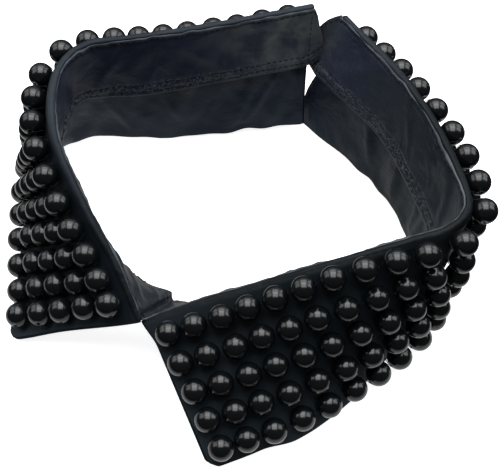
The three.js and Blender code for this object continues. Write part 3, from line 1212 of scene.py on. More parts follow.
@dataclass
class Leaf:
    """Leaf of one half: the beaded face, the roll at the fold, the lip behind the neck seam, and the lining.

    end_reach is how far the free back end bulges past its section halfway down and at its lower edge.
    front_reach is how far the front end comes forward at the fold and at the lower edge, and the share of the
    depth at which it gets there. spread and drops move the lower edge outwards and down. bulge_share,
    drop_share and spread_share are the start and the length of the share of the depth in which each sets in.
    tip_slant is how much the tips follow the fold and the lower edge.
    """

    lines: HalfLines
    node: str
    finishes: tuple[bpy.types.Material, ...]
    folds: tuple[Crease, ...] = ()
    end_reach: tuple[float, float] = (0.0, 0.0)
    front_reach: tuple[float, float, float] = (0.0, 0.0, 0.7)
    spread: tuple[Reach, ...] = ()
    drops: tuple[Reach, ...] = ()
    lining_ripple: Ripple = Ripple(seed=11, length=20, width=30, height=0.65)
    small_ripple: Ripple = Ripple(seed=12, length=8, width=12, height=0.2)
    face_ripple: Ripple = Ripple(seed=5, length=26, width=26, height=0.12)
    edge_ripple: Ripple = Ripple(seed=8, length=17, width=60, height=0.45)
    roll_puff: Ripple = Ripple(seed=3, length=9, width=40, height=1.0)
    pitch: float = 1.0
    low_rows: tuple[float, ...] = (0, 0.008, 0.018, 0.03, 0.044, 0.06, 0.08)
    face_rows: int = 46
    roll_rows: int = 6
    dimple: float = 0.3
    dimple_width: float = 2.3
    lining_range: tuple[float, float] = (-0.45, 1.6)
    free_end: float = 28.0
    front_end: float = 16.0
    drop_margin: float = 16.0
    spread_margin: float = 12.0
    edge_wave: float = 0.9
    edge_height: float = 16.0
    edge_margin: float = 8.0
    plain_top: float = 3.0
    wall_margins: tuple[float, float] = (5.0, 6.0)
    bulge_share: tuple[float, float] = (0.42, 0.6)
    drop_share: tuple[float, float] = (0.7, 0.3)
    spread_share: tuple[float, float] = (0.84, 0.16)
    tip_slant: tuple[float, float] = (0.3, 0.7)
    puff: float = 0.04

    @property
    def name(self) -> str:
        """Name of the piece."""
        return f"{self.node}_cloth"

    def bead_frames(self) -> tuple[Array, Array, Array, Array]:
        """Places of the beads.

        Returns:
            The centre, outward axis, row direction and cross direction of each bead of the half.
        """
        columns = FIRST_COLUMN + np.arange(COLUMNS)
        sections = self.lines.at(self.lines.place_of(columns))
        rows = np.arange(ROWS)
        pitch = (sections.depth - sections.head - LAST_ROW) / (ROWS - 1)
        share = (sections.head[:, None] + rows[None] * pitch[:, None]) / sections.depth[:, None]
        point, axis = sections.leaf_surface(share)
        s = share[..., None]
        tangent = sections.fold_tangent[:, None] * (1 - s) + sections.foot_tangent[:, None] * s
        along = unit(tangent - axis * (tangent * axis).sum(-1, keepdims=True))
        centre = point + axis * (OUTER + BEAD_GAP + BEAD_RADIUS)
        return tuple(a.reshape(-1, 3) for a in (centre, axis, along, np.cross(axis, along)))

    def _walls(self, grid: LeafGrid) -> tuple[Array, Array]:
        """Plain walls of the leaf.

        Args:
            grid: Places on the walls.

        Returns:
            The face with its dents under the beads, and the back with its ripples and folds.
        """
        up, along = grid.up, grid.along
        point, normal = grid.sections.leaf_surface(grid.share)
        face, back = point + normal * OUTER, point + normal * INNER
        centre, axis = self.bead_frames()[:2]
        near = np.full(up.shape, np.inf)
        for foot in centre - axis * (BEAD_RADIUS + BEAD_GAP):
            near = np.minimum(near, ((face - foot) ** 2).sum(-1))
        dents = -self.dimple * np.exp(-near / self.dimple_width**2)
        low, end = self.wall_margins
        inside = window(up, 0, up.max() - self.plain_top, low) * window(along, 0, grid.run[-1], end)
        lining = self.lining_ripple.at(along, up) + self.small_ripple.at(along, up)
        for fold in self.folds:
            lining = lining + fold.at(along, up)
        face = face + normal * (dents + self.face_ripple.at(along, up) * inside)[..., None]
        return face, back - normal * (np.clip(lining, *self.lining_range) * inside)[..., None]

    def _end_bulge(self, share: Array) -> Array:
        """Bulge of the free back end.

        Args:
            share: Share of the depth of each point.

        Returns:
            How far each point reaches past its section.
        """
        middle, foot = self.end_reach
        start, length = self.bulge_share
        hump = np.sin(np.pi * np.clip((share - start) / length, 0, 1)) ** 0.7
        return middle * hump + foot * eased(share * 2 - 1)

    def _moves(self, grid: LeafGrid) -> Iterator[Array]:
        """Moves that shape the plain walls, one after the other.

        Args:
            grid: Places on the walls.

        Yields:
            A move of every point: of the tips and ends, then of the lower edge in waves, down and outwards.
        """
        sections, run, share, up, along = grid.sections, grid.run, grid.share, grid.up, grid.along
        down = sections.down[:, None]
        from_front, from_foot = rounded_corner(along, up, TIP_RADIUS)
        by_fold, by_foot = self.tip_slant
        step = (sections.fold_tangent * by_fold + sections.foot_tangent * by_foot)[:, None]
        near_end = eased((along - run[-1] + self.free_end) / self.free_end)
        yield step * (from_front + self._end_bulge(share) * near_end)[..., None] - down * from_foot[..., None]

        low = eased((self.edge_height - up) / self.edge_height) * window(along, 0, run[-1], self.edge_margin)
        wave = np.clip(self.edge_ripple.at(along, up * 0), -self.edge_wave, self.edge_wave) * low
        lift = sections.top[:, 2] + sections.down[:, 2] * sections.depth
        yield down * (wave * np.clip(lift, 0.0, 1.0)[:, None])[..., None]

        start, length = self.drop_share
        for drop in self.drops:
            yield down * (drop.at(run, self.drop_margin) * eased((share - start) / length))[..., None]
        out = unit(sections.foot_out * np.array([1.0, 1.0, 0.0]))[:, None]
        start, length = self.spread_share
        for spread in self.spread:
            yield out * (spread.at(run, self.spread_margin) * eased((share - start) / length))[..., None]

    def _roll(self, grid: LeafGrid) -> tuple[Array, Array]:
        """Roll over the fold, and the lip behind the neck seam.

        Args:
            grid: Places on the walls.

        Returns:
            The face and the back of both.
        """
        sections = grid.sections
        centre, inward = sections.roll_centre[:, None], sections.inward
        crest = -unit(sections.down + sections.band_down)
        out = sections.leaf_surface(grid.share[:, -1:])[1][:, 0]
        outer, inner = (np.arccos(np.clip((crest * way).sum(-1), -1, 1)) for way in (out, inward))
        to_seam = inner - (SEAM_TURN - seam_waver(sections.top) / OUTER)
        turns = [to_seam * w for w in SEAM_STEPS] + [to_seam + SEAM_TUCK, inner]
        rolls = [turned(out, crest, outer, outer * w) for w in np.linspace(0, 1, self.roll_rows)[1:]]
        rolls += [turned(crest, inward, inner, turn) for turn in turns]
        roll = np.stack(rolls, 1)
        radius = np.array([OUTER] * (len(rolls) - len(SEAM_EDGE)) + SEAM_EDGE)
        puff = 1 + self.puff * self.roll_puff.at(grid.run, grid.run * 0)[:, None, None]
        lip = centre + sections.band_down[:, None] * LIP_STEPS[..., None]
        way = inward[:, None]
        face = np.concatenate([centre + roll * radius[None, :, None] * puff, lip + way * TONGUE], 1)
        return face, np.concatenate([centre + roll * INNER, lip + way * INNER], 1)

    def _front_move(self, grid: LeafGrid, count: int) -> Array:
        """Move of the front end.

        Args:
            grid: Places on the walls.
            count: Number of points across the whole cloth.

        Returns:
            The move of every point.
        """
        share = np.pad(grid.share, ((0, 0), (0, count - grid.share.shape[1])))
        at_fold, at_foot, until = self.front_reach
        far = at_fold + (at_foot - at_fold) * eased(share / until)
        reach = far * eased(1 - grid.run / self.front_end)[:, None]
        return -(grid.sections.fold_tangent[:, None] * reach[..., None])

    def sheet(self) -> ClothSheet:
        """Lays out the leaf.

        Returns:
            The cloth, from its lower edge over the roll to the lip.
        """
        sections = self.lines.at(self.lines.evenly(self.pitch))
        run = distances_along(sections.top)
        t = np.concatenate([self.low_rows, np.linspace(0.1, 1, self.face_rows)])[None]
        depth = sections.depth[:, None]
        grid = LeafGrid(sections, run, 1 - t * (1 - OUTER / depth), t * (depth - OUTER))
        face, back = self._walls(grid)
        for move in self._moves(grid):
            face, back = face + move, back + move
        plain = face.shape[1]
        face, back = (np.concatenate([wall, roll], 1) for wall, roll in zip((face, back), self._roll(grid)))
        ahead = self._front_move(grid, face.shape[1])
        rolled = face.shape[1] - plain - LIP_STEPS.shape[1]
        over = grid.up[:, -1:] + np.cumsum(np.full((1, rolled), ROLL_LENGTH / rolled), 1)
        across = np.concatenate([grid.up, over, over[:, -1:] + LIP_STEPS], 1)
        LOG.info("%s: %d sections", self.name, len(run))
        return ClothSheet(face + ahead, back + ahead, run, across, plain)

    def build(self) -> bpy.types.Object:
        """Builds the leaf in the place of its solid.

        Returns:
            The piece.
        """
        cloth = self.sheet()
        piece = add_piece(self.name, cloth.mesh(self.name), "beaded_cloth", *self.finishes)
        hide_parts(self.node)
        width, length = cloth.flat
        return piece


@dataclass(frozen=True)
class Spine:
    """Places along the band, from the end of the right tab over the front to the end of the left tab.

    centre is the middle of the roll, height the band's height and lead how far a place lies on a free tab.
    front is the number of the place in the middle of the front.
    """

    centre: Array
    down: Array
    inward: Array
    height: Array
    lead: Array
    front: int


@dataclass
class NeckBand:
    """Band inside the collar, in one piece from tab to tab, with a double-stitched lower edge.

    hem and head are the distances of its rows of points from the lower and from the top edge. lean_span and
    hem_strip have a start, an end and a soft margin, and grooves a depth and a width. seam_ridge and seam_dip
    have a height, a distance below the seam and a width. loose_from is the start and the length of the way
    over which a tab comes free of the leaf. gathers_reach is how far below the seam the gathers fade, and how
    soon they begin. calm is how far in from its edges and from its ends the rumples are full, counted from a
    line as far outside them as its third number says. tongue_cover is how far past the lip the back of the
    band makes room for it, and how steeply that ends.
    """

    right: HalfLines
    left: HalfLines
    finishes: tuple[bpy.types.Material, ...]
    name: str = "neck_band_cloth"
    pitch: float = 0.75
    hem: tuple[float, ...] = (0.0, 0.4, 0.8, 1.2, 1.6, 2.0, 2.5, 3.0, 3.5, 4.0, 4.4, 4.9, 5.5, 6.2)
    head: tuple[float, ...] = (5.0, 4.0, 3.2, 2.6, 2.1, 1.7, 1.3, 1.0, 0.7, 0.45, 0.2, 0.0)
    middle_rows: int = 18
    folds: tuple[Crease, ...] = ()
    ripple: Ripple = Ripple(seed=21, length=24, width=26, height=0.5)
    small_ripple: Ripple = Ripple(seed=22, length=8, width=10, height=0.16)
    pucker: Ripple = Ripple(seed=4, length=2.4, width=2.8, height=0.32, waves=18)
    gathers: Ripple = Ripple(seed=9, length=4.2, width=40, height=0.22, waves=16)
    tab_corners: tuple[float, float] = (4.5, 4.0)
    lean: float = 2.0
    lean_span: tuple[float, float, float] = (2, 98, 20)
    lean_depth: float = 9.0
    bridge_reach: float = 2.5
    smoothings: int = 3
    loose_from: tuple[float, float] = (0.3, 0.8)
    hem_lines: tuple[float, float] = (1.2, 4.0)
    hem_strip: tuple[float, float, float] = (0.9, 4.3, 0.7)
    hem_swell: float = 0.1
    groove: tuple[float, float] = (0.26, 0.4)
    end_line: float = 2.0
    end_groove: tuple[float, float] = (0.26, 0.45)
    seam_gap: float = 0.22
    seam_ridge: tuple[float, float, float] = (0.3, 0.35, 0.35)
    seam_dip: tuple[float, float, float] = (0.18, 1.3, 0.5)
    gathers_reach: tuple[float, float] = (3.0, 0.6)
    relief_range: tuple[float, float] = (-0.5, 1.2)
    back_rumple: float = 0.5
    calm: tuple[float, float, float] = (4.0, 5.0, 1.0)
    tongue_cover: tuple[float, float] = (0.6, 2.0)
    most_turn: float = 1.5

    @property
    def stitch_rows(self) -> tuple[int, int, int]:
        """Points across the band that the stitches follow: two lines along the hem and one under the roll."""
        low, high = (self.hem.index(line) for line in self.hem_lines)
        return low, high, len(self.hem) + self.middle_rows + self.head.index(self.seam_dip[1])

    def tab_frame(self, lines: HalfLines, tab: Tab) -> tuple[Array, Array, Array, float]:
        """Free end of a tab.

        Args:
            lines: Lines of the half that it belongs to.
            tab: The tab.

        Returns:
            The roll centre, the direction down, the inward direction and the height of the band there.
        """
        sections = lines.at(np.array([1.0]))
        top, low = np.array(tab.fold) + TABLE_SHIFT, np.array(tab.band) + TABLE_SHIFT
        foot = sections.top[0] + sections.band_down[0] * BAND_HEIGHT
        tangent = unit(top + low - sections.top[0] - foot)
        down = unit(low - top)
        inward = unit(np.cross(tangent, down)) * lines.side.value
        return top + down * OUTER, down, inward, float(np.linalg.norm(low - top))

    def spine(self) -> Spine:
        """Joins both halves and both tabs.

        Returns:
            The places along the whole band, a pitch apart.
        """
        parts, lead = [], []
        for lines, tab in ((self.right, RIGHT_TAB), (self.left, LEFT_TAB)):
            s = lines.at(lines.evenly(self.pitch))
            body = [s.roll_centre, s.band_down, s.inward, np.full(len(s.depth), BAND_HEIGHT)]
            end = self.tab_frame(lines, tab)
            length = np.linalg.norm(end[0] - s.roll_centre[-1])
            w = np.linspace(0, 1, max(int(length / self.pitch), 3) + 1)[1:, None]
            blend = [a[-1] * (1 - w) + np.asarray(b) * w for a, b in zip(body, end)]
            blend[3] = blend[3][:, 0]
            parts.append([np.concatenate([a, b]) for a, b in zip(body, blend)])
            lead.append(np.concatenate([np.zeros(len(s.depth)), w[:, 0] * length]))
        right, left = parts
        steps = max(int(np.linalg.norm(left[0][0] - right[0][0]) / self.pitch), 2)
        w = np.linspace(0, 1, steps + 1)[1:-1, None]
        bridge = [a[0] * (1 - w) + b[0] * w for a, b in zip(right[:3], left[:3])]
        bridge[0] = bridge[0] - bridge[2] * (self.bridge_reach * np.sin(np.pi * w))
        bridge.append(np.full(len(w), BAND_HEIGHT))
        whole = [np.concatenate([a[::-1], b, c]) for a, b, c in zip(right, bridge, left)]
        for _ in range(self.smoothings):
            for line in whole:
                line[1:-1] = (line[:-2] + 2 * line[1:-1] + line[2:]) / 4
        centre, down, inward, height = whole
        whole_lead = np.concatenate([lead[0][::-1], np.zeros(len(w)), lead[1]])
        return Spine(centre, unit(down), unit(inward), height, whole_lead, len(right[0]) + len(w) // 2)

    def _top_edge(self, spine: Spine, open_end: Array) -> Array:
        """Top edge of the band.

        Args:
            spine: Places along the band.
            open_end: 1 on a free tab, 0 where the band is sewn to the leaf.

        Returns:
            Its place under the roll centre: at the neck seam, or at a free tab's rounded corner.
        """
        seam = seam_waver(spine.centre - spine.down * OUTER) - SEAM_TURN * OUTER + self.seam_gap
        on_right = np.arange(len(spine.lead)) < spine.front
        last = np.where(on_right, spine.lead[0], spine.lead[-1])
        radius = np.where(on_right, *self.tab_corners)
        bend = np.clip(1 - (last - spine.lead) / radius, 0, 1)
        corner = radius * (1 - np.sqrt(np.clip(1 - bend**2, 0, 1)))
        return seam * (1 - open_end) + (corner - OUTER) * open_end

    def _relief(self, along: Array, ends: Array, up: Array, span: Array, sewn: Array) -> Array:
        """Relief of the seams.

        Args:
            along: Distance along the band.
            ends: Distance from the nearer end.
            up: Distance from the lower edge.
            span: Distance from the lower to the top edge.
            sewn: 1 where the band is sewn to the leaf, 0 on a free tab.

        Returns:
            The height of the puckered hem, of the stitched grooves and of the gathers under the roll.
        """
        hem_strip = window(up, *self.hem_strip)
        relief = self.pucker.at(along, up) * hem_strip + self.hem_swell * hem_strip
        depth, width = self.groove
        for line in self.hem_lines:
            relief = relief - depth * bell(up, line, width)
        depth, width = self.end_groove
        above_hem = window(up, self.hem_lines[0], span.max(), 1.0)
        relief = relief - depth * bell(ends, self.end_line, width) * above_hem
        below = span - up
        ridge, dip = (high * bell(below, at, wide) for high, at, wide in (self.seam_ridge, self.seam_dip))
        fade, start = self.gathers_reach
        relief = relief + sewn * (ridge - dip)
        return relief + self.gathers.at(along, up) * np.exp(-below / fade) * eased(below / start) * sewn

    def sheet(self) -> ClothSheet:
        """Lays out the band.

        Returns:
            The cloth, with its seams, rumples and folds.
        """
        spine = self.spine()
        run = distances_along(spine.centre)
        start, length = self.loose_from
        open_end = eased((spine.lead - start) / length)
        end = spine.height - OUTER
        span = (end - self._top_edge(spine, open_end))[:, None]
        hem = np.broadcast_to(np.array(self.hem)[None], (len(run), len(self.hem)))
        head = span - np.array(self.head)[None]
        w = np.linspace(0, 1, self.middle_rows + 2)[1:-1][None]
        up = np.concatenate([hem, hem[:, -1:] * (1 - w) + head[:, :1] * w, head], 1)
        along = np.broadcast_to(run[:, None], up.shape)

        drop = end[:, None] - up
        sewn = (1 - open_end)[:, None]
        kept = np.where(drop > 0, drop, drop * open_end[:, None])
        from_front = run - run[spine.front]
        lean = self.lean * window(from_front, *self.lean_span)[:, None] * eased(drop / self.lean_depth)
        down, inward = spine.down[:, None], spine.inward[:, None]
        place = spine.centre[:, None] + down * kept[..., None] - inward * lean[..., None]
        turn = (np.clip(-drop / OUTER, 0, self.most_turn) * sewn)[..., None]
        inside = inward * np.cos(turn) - down * np.sin(turn)

        ends = np.minimum(along, run[-1] - along)
        by_edge, by_end, past = self.calm
        free = window(up, -past, span.max() + past, by_edge) * eased((ends + past) / by_end)
        rumple = (self.ripple.at(along, up) + self.small_ripple.at(along, up)) * free
        for fold in self.folds:
            rumple = rumple + fold.at(along - run[spine.front], up) * free
        relief = self._relief(along, ends, up, span, sewn)
        face = place + inside * (OUTER + np.clip(relief + rumple, *self.relief_range))[..., None]
        reach, ramp = self.tongue_cover
        over_tongue = sewn * (1 - eased((LIP + reach - drop) * -ramp + 1)) * (BAND_BACK - INNER)
        lining = np.maximum(np.clip(rumple, 0.0, self.back_rumple), over_tongue)
        back = place + inside * (INNER + lining)[..., None]
        return ClothSheet(face, back, run, up, up.shape[1] - 1)

    def build(self) -> tuple[bpy.types.Object, ClothSheet]:
        """Builds the band in the place of its solid.

        Returns:
            The piece and the cloth that it was made from.
        """
        cloth = self.sheet()
        piece = add_piece(self.name, cloth.mesh(self.name), "satin", *self.finishes)
        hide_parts("neck_band")
        width, length = cloth.flat
        return piece, cloth


def tube_faces(sides: int, rings: int, offset: int) -> list[tuple[int, ...]]:
    """Faces of a tube of stacked rings with flat ends.

    Args:
        sides: Number of points in a ring.
        rings: Number of rings.
        offset: Number of the tube's first point.

    Returns:
        The faces, as numbers of points.
    """
    faces = []
    for r in range(rings - 1):
        for i in range(sides):
            j = (i + 1) % sides
            a = offset + r * sides
            faces.append((a + i, a + j, a + sides + j, a + sides + i))
    faces.append(tuple(offset + i for i in reversed(range(sides))))
    faces.append(tuple(offset + (rings - 1) * sides + i for i in range(sides)))
    return faces


def tube_points(path: Array, radii: Array, normals: Array, sides: int) -> Array:
    """Points of the rings of a tube along a short path.

    Args:
        path: The middle of each ring.
        radii: The radius of each ring.
        normals: A direction across the path at each ring.
        sides: Number of points in a ring.

    Returns:
        All points, ring after ring.
    """
    tangent = unit(np.gradient(path, axis=0))
    across = unit(np.cross(tangent, normals))
    up = np.cross(across, tangent)
    angle = np.arange(sides) * 2 * math.pi / sides
    ring = across[:, None] * np.cos(angle)[None, :, None] + up[:, None] * np.sin(angle)[None, :, None]
    return (path[:, None] + ring * radii[:, None, None]).reshape(-1, 3)


@dataclass
class Stitching:
    """Lines of machine stitches, each stitch a short thread that dips into the cloth at both ends."""

    name: str
    slot: str
    material: bpy.types.Material
    stitch: float = 1.7
    space: float = 0.5
    radius: float = 0.16
    sides: int = 6
    steps: int = 6
    points: list[Array] = field(default_factory=list)
    faces: list[tuple[int, ...]] = field(default_factory=list)

    def add_line(self, path: Array, normals: Array) -> None:
        """Adds a line of stitches.

        Args:
            path: Points on the cloth that the line follows.
            normals: Direction out of the cloth at each point, one long.
        """
        run = distances_along(path)
        pitch = self.stitch + self.space
        arch = np.sin(np.linspace(0, math.pi, self.steps))
        for k in range(int(run[-1] // pitch)):
            at = k * pitch + np.linspace(0, self.stitch, self.steps)
            middle, out = (np.stack([np.interp(at, run, a) for a in line.T], 1) for line in (path, normals))
            out = unit(out)
            middle = middle + out * (self.radius * (1.5 * arch**0.6 - 1.0))[:, None]
            radii = self.radius * (0.55 + 0.45 * arch)
            self.faces += tube_faces(self.sides, self.steps, sum(len(p) for p in self.points))
            self.points.append(tube_points(middle, radii, out, self.sides))

    def add_band(self, band: NeckBand, cloth: ClothSheet) -> None:
        """Adds the lines along the neck band, and one across each of its ends.

        Args:
            band: The band.
            cloth: The cloth that it was made from.
        """
        normals = unit(cloth.face - cloth.back)
        for row in band.stitch_rows:
            self.add_line(cloth.face[:, row], normals[:, row])
        for section in (3, -4):
            self.add_line(cloth.face[section, 4:-4], normals[section, 4:-4])

    def build(self) -> bpy.types.Object:
        """Builds all lines as one piece."""
        mesh = smooth_mesh(self.name, np.vstack(self.points), self.faces)
        return add_piece(self.name, mesh, self.slot, self.material)


@dataclass
class BeadField:
    """All beads of one half, each drilled along its row, with the threads that hold it down."""

    leaf: Leaf
    node: str
    gloss: bpy.types.Material
    thread: bpy.types.Material
    seed: int
    segments: int = 26
    rings: int = 15
    hole: float = 0.55
    hole_depth: float = 1.1
    shift: float = 0.22
    tilt: float = 0.12
    smallest: float = 0.985
    thread_radius: float = 0.13
    thread_sides: int = 5

    @property
    def name(self) -> str:
        """Name of the piece."""
        return f"{self.node}_round"

    def template(self) -> tuple[Array, list[tuple[int, ...]]]:
        """One drilled bead.

        Returns:
            Its points round the origin, with its hole along X, and its faces.
        """
        start = math.asin(self.hole / BEAD_RADIUS)
        angles = np.linspace(start, math.pi - start, self.rings)
        rows = [(BEAD_RADIUS * math.cos(a), BEAD_RADIUS * math.sin(a)) for a in angles]
        mouth = rows[0][0]
        inner = self.hole * 0.8
        rows = [(mouth - self.hole_depth, inner), *rows, (self.hole_depth - mouth, inner)]
        turn = np.arange(self.segments) * 2 * math.pi / self.segments
        points = [(x, r * math.cos(a), r * math.sin(a)) for x, r in rows for a in turn]
        return np.array(points), tube_faces(self.segments, len(rows), 0)

    def thread_path(self) -> Array:
        """Line of the thread from inside the bead's hole down into the cloth, beside the bead."""
        route = [(BEAD_RADIUS + out, 0, up) for out, up in THREAD_ROUTE]
        return np.array([*route, (BEAD_RADIUS + THREAD_END[0], 0, THREAD_END[1] - BEAD_RADIUS)], float)

    def build(self) -> bpy.types.Object:
        """Builds the beads in the place of their solid.

        Returns:
            The piece, with the threads in its second material place.
        """
        centre, axis, along, across = self.leaf.bead_frames()
        rng = np.random.default_rng(self.seed)
        centre = centre + along * rng.uniform(-self.shift, self.shift, (len(centre), 1))
        centre = centre + across * rng.uniform(-self.shift, self.shift, (len(centre), 1))
        shape, shape_faces = self.template()
        size = rng.uniform(self.smallest, 1.0, len(centre))
        tilt = rng.normal(0, self.tilt, (len(centre), 3))
        points, faces, places = [], [], []
        offset = 0
        for k in range(len(centre)):
            x = unit(along[k] + across[k] * tilt[k, 0] + axis[k] * tilt[k, 1])
            z = unit(axis[k] - x * (axis[k] @ x))
            basis = np.stack([x, np.cross(z, x), z])
            points.append(centre[k] + shape @ basis * size[k])
            faces += [tuple(v + offset for v in f) for f in shape_faces]
            places += [0] * len(shape_faces)
            offset += len(shape)
            for way in (1, -1):
                path = centre[k] + self.thread_path() * np.array([way, 1, 1]) @ basis
                normals = np.broadcast_to(basis[1], path.shape)
                tube = tube_points(path, np.full(len(path), self.thread_radius), normals, self.thread_sides)
                points.append(tube)
                made = tube_faces(self.thread_sides, len(path), offset)
                faces += made
                places += [1] * len(made)
                offset += len(tube)
        mesh = smooth_mesh(self.name, np.vstack(points), faces, np.array(places, np.int32))
        piece = add_piece(self.name, mesh, "beads", self.gloss, self.thread)
        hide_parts(self.node)
        return piece


# Studio


@dataclass(frozen=True)
class Panel:
    """One soft light that looks at the collar.

    turn is in degrees to the right of the camera's upright plane, and tilt in degrees up from the camera's
    direction. away and size are in metres. radiance is the brightness of its surface.
    """

    name: str
    turn: float
    tilt: float
    away: float
    size: tuple[float, float]
    radiance: float


MIDDLE_WINDOW = (0.9, 0.5)
SIDE_WINDOW = (0.5, 0.8)
PANELS = (
    Panel("window_middle_near", 0, 27, 1.2, MIDDLE_WINDOW, 4),
    Panel("window_middle", 0, 51, 1.2, MIDDLE_WINDOW, 5),
    Panel("window_middle_far", 0, 75, 1.2, MIDDLE_WINDOW, 2.7),
    Panel("window_left_near", -50, 42, 1.2, SIDE_WINDOW, 2),
    Panel("window_left_far", -45, 82, 1.2, SIDE_WINDOW, 1.5),
    Panel("window_right_near", 50, 42, 1.2, SIDE_WINDOW, 3),
    Panel("window_right_far", 45, 82, 1.2, SIDE_WINDOW, 2),
    Panel("far_wall", 0, 70, 2.4, (5.0, 4.2), 0.4),
)


@dataclass
class Studio:
    """Pale table, soft lights and the camera at the photograph's viewing angle.

    glow is a painted pool of light: how brightly the table glows, for the collar that reflects it and is lit
    by it, at distances from the collar's middle.
    """

    azimuth: float = 29.0
    elevation: float = 58.8
    distance: float = 410.0
    target: tuple[float, float, float] = (11.5, -6.29, 20.0)
    lens: float = 83.3
    glow: tuple[tuple[float, float], ...] = ((0, 0.5), (60, 0.52), (84, 0.9), (104, 0.9), (130, 0.03))
    surround: float = 0.06
    table_grey: float = 0.86
    table_light: float = 0.87
    table_half: float = 1.6
    table_level: float = -0.0003

    @property
    def back(self) -> Array:
        """Direction from the collar to the camera."""
        a, e = math.radians(self.azimuth), math.radians(self.elevation)
        return np.array([math.sin(a) * math.cos(e), -math.cos(a) * math.cos(e), math.sin(e)])

    def place(self, name: str, data: bpy.types.ID, location: Array, look: Array) -> bpy.types.Object:
        """Puts a camera or a light in the scene.

        Args:
            name: Name of the new object.
            data: The camera or the light.
            location: Its place, in metres.
            look: Direction that it looks in.

        Returns:
            The new object.
        """
        made = bpy.data.objects.new(name, data)
        bpy.context.scene.collection.objects.link(made)
        made.location = Vector(location)
        made.rotation_mode = "QUATERNION"
        made.rotation_quaternion = Vector(look).to_track_quat("-Z", "Y")
        return made

    def camera(self) -> None:
        """Makes the camera and gives it to the scene."""
        data = bpy.data.cameras.new("camera")
        data.lens = self.lens
        data.sensor_width = 36.0
        data.clip_start = 0.01
        data.clip_end = 20.0
        location = (np.array(self.target) + self.back * self.distance) * MM
        bpy.context.scene.camera = self.place("camera", data, location, -self.back)

    def _painted_glow(self, tree: NodeTree) -> Socket:
        """The table's glow, as the collar reflects it and is lit by it.

        Args:
            tree: Nodes of the table's material.

        Returns:
            A dim glow, with a painted pool of light in a brighter ring round the collar.
        """
        away = tree.node("ShaderNodeVectorMath", operation="LENGTH")
        tree.join(tree.place(), away.inputs[0])
        reach = self.glow[-1][0]
        fade = tree.node("ShaderNodeValToRGB")
        stops = fade.color_ramp.elements
        for at, _ in self.glow[1:-1]:
            stops.new(at / reach)
        for stop, (at, value) in zip(stops, self.glow):
            stop.position = at / reach
            stop.color = (value, value, value, 1)
        tree.join(tree.math("DIVIDE", away.outputs["Value"], reach * MM), fade.inputs["Fac"])
        dim = tree.node("ShaderNodeEmission")
        tree.join(fade.outputs["Color"], dim.inputs["Color"])
        return dim.outputs[0]

    def table(self) -> None:
        """Makes the pale table top, white to the camera, and to all that reflects it a dim glow with a
        painted pool of light round the collar.
        """
        material, tree, shader = start_material("pale_table")
        shader.inputs["Base Color"].default_value = (self.table_grey, self.table_grey, self.table_grey, 1)
        shader.inputs["Roughness"].default_value = 0.75
        shader.inputs["Emission Color"].default_value = (1, 1, 1, 1)
        shader.inputs["Emission Strength"].default_value = self.table_light
        choice = tree.node("ShaderNodeMixShader")
        tree.join(tree.node("ShaderNodeLightPath").outputs["Is Camera Ray"], choice.inputs[0])
        tree.join(self._painted_glow(tree), choice.inputs[1])
        tree.join(shader.outputs[0], choice.inputs[2])
        end = next(n for n in material.node_tree.nodes if n.type == "OUTPUT_MATERIAL")
        tree.join(choice.outputs[0], end.inputs["Surface"])
        mesh = bpy.data.meshes.new("table_top")
        half = self.table_half
        corners = [(x * half, y * half, self.table_level) for x, y in ((-1, -1), (1, -1), (1, 1), (-1, 1))]
        mesh.from_pydata(corners, [], [(0, 1, 2, 3)])
        mesh.materials.append(material)
        top = bpy.data.objects.new("table_top", mesh)
        bpy.context.scene.collection.objects.link(top)

    def light(self, panel: Panel) -> None:
        """Makes one soft light.

        Args:
            panel: Its place, size and brightness.
        """
        a = math.radians(self.azimuth)
        right = np.array([math.cos(a), math.sin(a), 0])
        up = np.cross(self.back, right)
        t, r = math.radians(panel.tilt), math.radians(panel.turn)
        direction = (self.back * math.cos(t) + up * math.sin(t)) * math.cos(r) + right * math.sin(r)
        data = bpy.data.lights.new(panel.name, "AREA")
        data.shape = "RECTANGLE"
        data.size, data.size_y = panel.size
        data.energy = panel.radiance * math.pi * panel.size[0] * panel.size[1]
        self.place(panel.name, data, np.array(self.target) * MM + direction * panel.away, -direction)

    def world(self) -> None:
        """Sets an even dim surround."""
        world = bpy.data.worlds.new("surround")
        world.use_nodes = True
        node = next(n for n in world.node_tree.nodes if n.type == "BACKGROUND")
        node.inputs["Color"].default_value = (self.surround, self.surround, self.surround, 1)
        bpy.context.scene.world = world

    def build(self) -> None:
        """Builds the whole studio."""
        self.table()
        self.camera()
        self.world()
        for panel in PANELS:
            self.light(panel)
        bpy.context.scene.view_settings.view_transform = "Standard"


BAND_FOLDS = (
    Crease((4, 21), (30, 9), 1.5, 0.9),
    Crease((2, 12), (16, 3), 1.3, 0.6),
    Crease((-9, 19), (0, 12), 1.3, 0.6),
    Crease((112, 5), (126, 19), 1.7, 0.5),
    Crease((146, 18), (160, 7), 1.8, 0.5),
    Crease((-118, 6), (-131, 19), 1.7, 0.5),
    Crease((-165, 19), (-152, 6), 1.7, 0.55),
)
RIGHT_LINING_FOLDS = (
    Crease((112, 24), (105, 5), 1.6, 0.7),
    Crease((132, 5), (142, 24), 1.5, 0.6),
    Crease((158, 25), (152, 5), 1.4, 0.6),
    Crease((172, 6), (182, 24), 1.5, 0.7),
)
LEFT_LINING_FOLDS = (
    Crease((112, 22), (122, 4), 1.5, 0.6),
    Crease((134, 24), (143, 6), 1.4, 0.5),
    Crease((151, 7), (160, 23), 1.4, 0.5),
    Crease((168, 4), (184, 26), 1.6, 1.0),
)


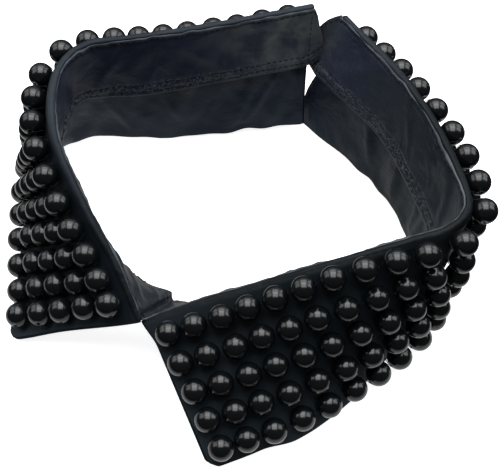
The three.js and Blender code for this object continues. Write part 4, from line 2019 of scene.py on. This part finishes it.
def build_leaves(right: HalfLines, left: HalfLines) -> tuple[Leaf, Leaf]:
    """Builds both halves of the leaf.

    Args:
        right: Lines of the right half.
        left: Lines of the left half.

    Returns:
        The right and the left half.
    """
    finishes = tuple(finish.material() for finish in (BEADED_SATIN, LINING_SATIN, FOLD_SATIN))
    leaves = (
        Leaf(
            right,
            "leaf_right",
            finishes,
            folds=RIGHT_LINING_FOLDS,
            end_reach=(4.2, 2.4),
            front_reach=(2.0, 0.0, 0.2),
            spread=(Reach(19, 66, 2.0),),
            drops=(Reach(112, 172, -0.8), Reach(186, 400, 1.4)),
        ),
        Leaf(
            left,
            "leaf_left",
            finishes,
            folds=LEFT_LINING_FOLDS,
            end_reach=(-0.3, 0.1),
            front_reach=(2.4, 0.2, 0.7),
            spread=(Reach(-12, 60, 1.3), Reach(84, 109, -1.6)),
            drops=(Reach(178, 400, 1.0),),
            lining_ripple=Ripple(seed=17, length=22, width=28, height=0.65),
        ),
    )
    for leaf in leaves:
        leaf.build()
    return leaves


def main() -> None:
    """Builds every piece of the collar, dresses it and sets up the studio."""
    logging.basicConfig(level=logging.INFO, format="%(name)s: %(message)s")
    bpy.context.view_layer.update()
    build_satin_weave()
    build_soft_rumple()
    build_fine_dust()
    right, left = HalfLines(RIGHT_HALF, Side.RIGHT), HalfLines(LEFT_HALF, Side.LEFT)
    satin, seam_edge = BAND_SATIN.material(), SEAM_HIGHLIGHT_SATIN.material()
    band = NeckBand(right, left, (satin, satin, seam_edge), folds=BAND_FOLDS)
    band_cloth = band.build()[1]
    right_leaf, left_leaf = build_leaves(right, left)
    gloss, thread = BeadFinish().material(), ThreadFinish().material()
    seams = Stitching("seam_stitches", "satin", thread)
    seams.add_band(band, band_cloth)
    seams.build()
    BeadField(right_leaf, "beads_right", gloss, thread, seed=31).build()
    BeadField(left_leaf, "beads_left", gloss, thread, seed=47).build()
    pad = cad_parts["closure_pad"]
    pad.data.materials.clear()
    pad.data.materials.append(PadFinish().material())
    LOG.info("closure_pad: dressed")
    Studio().build()


if __name__ == "__main__":
    main()
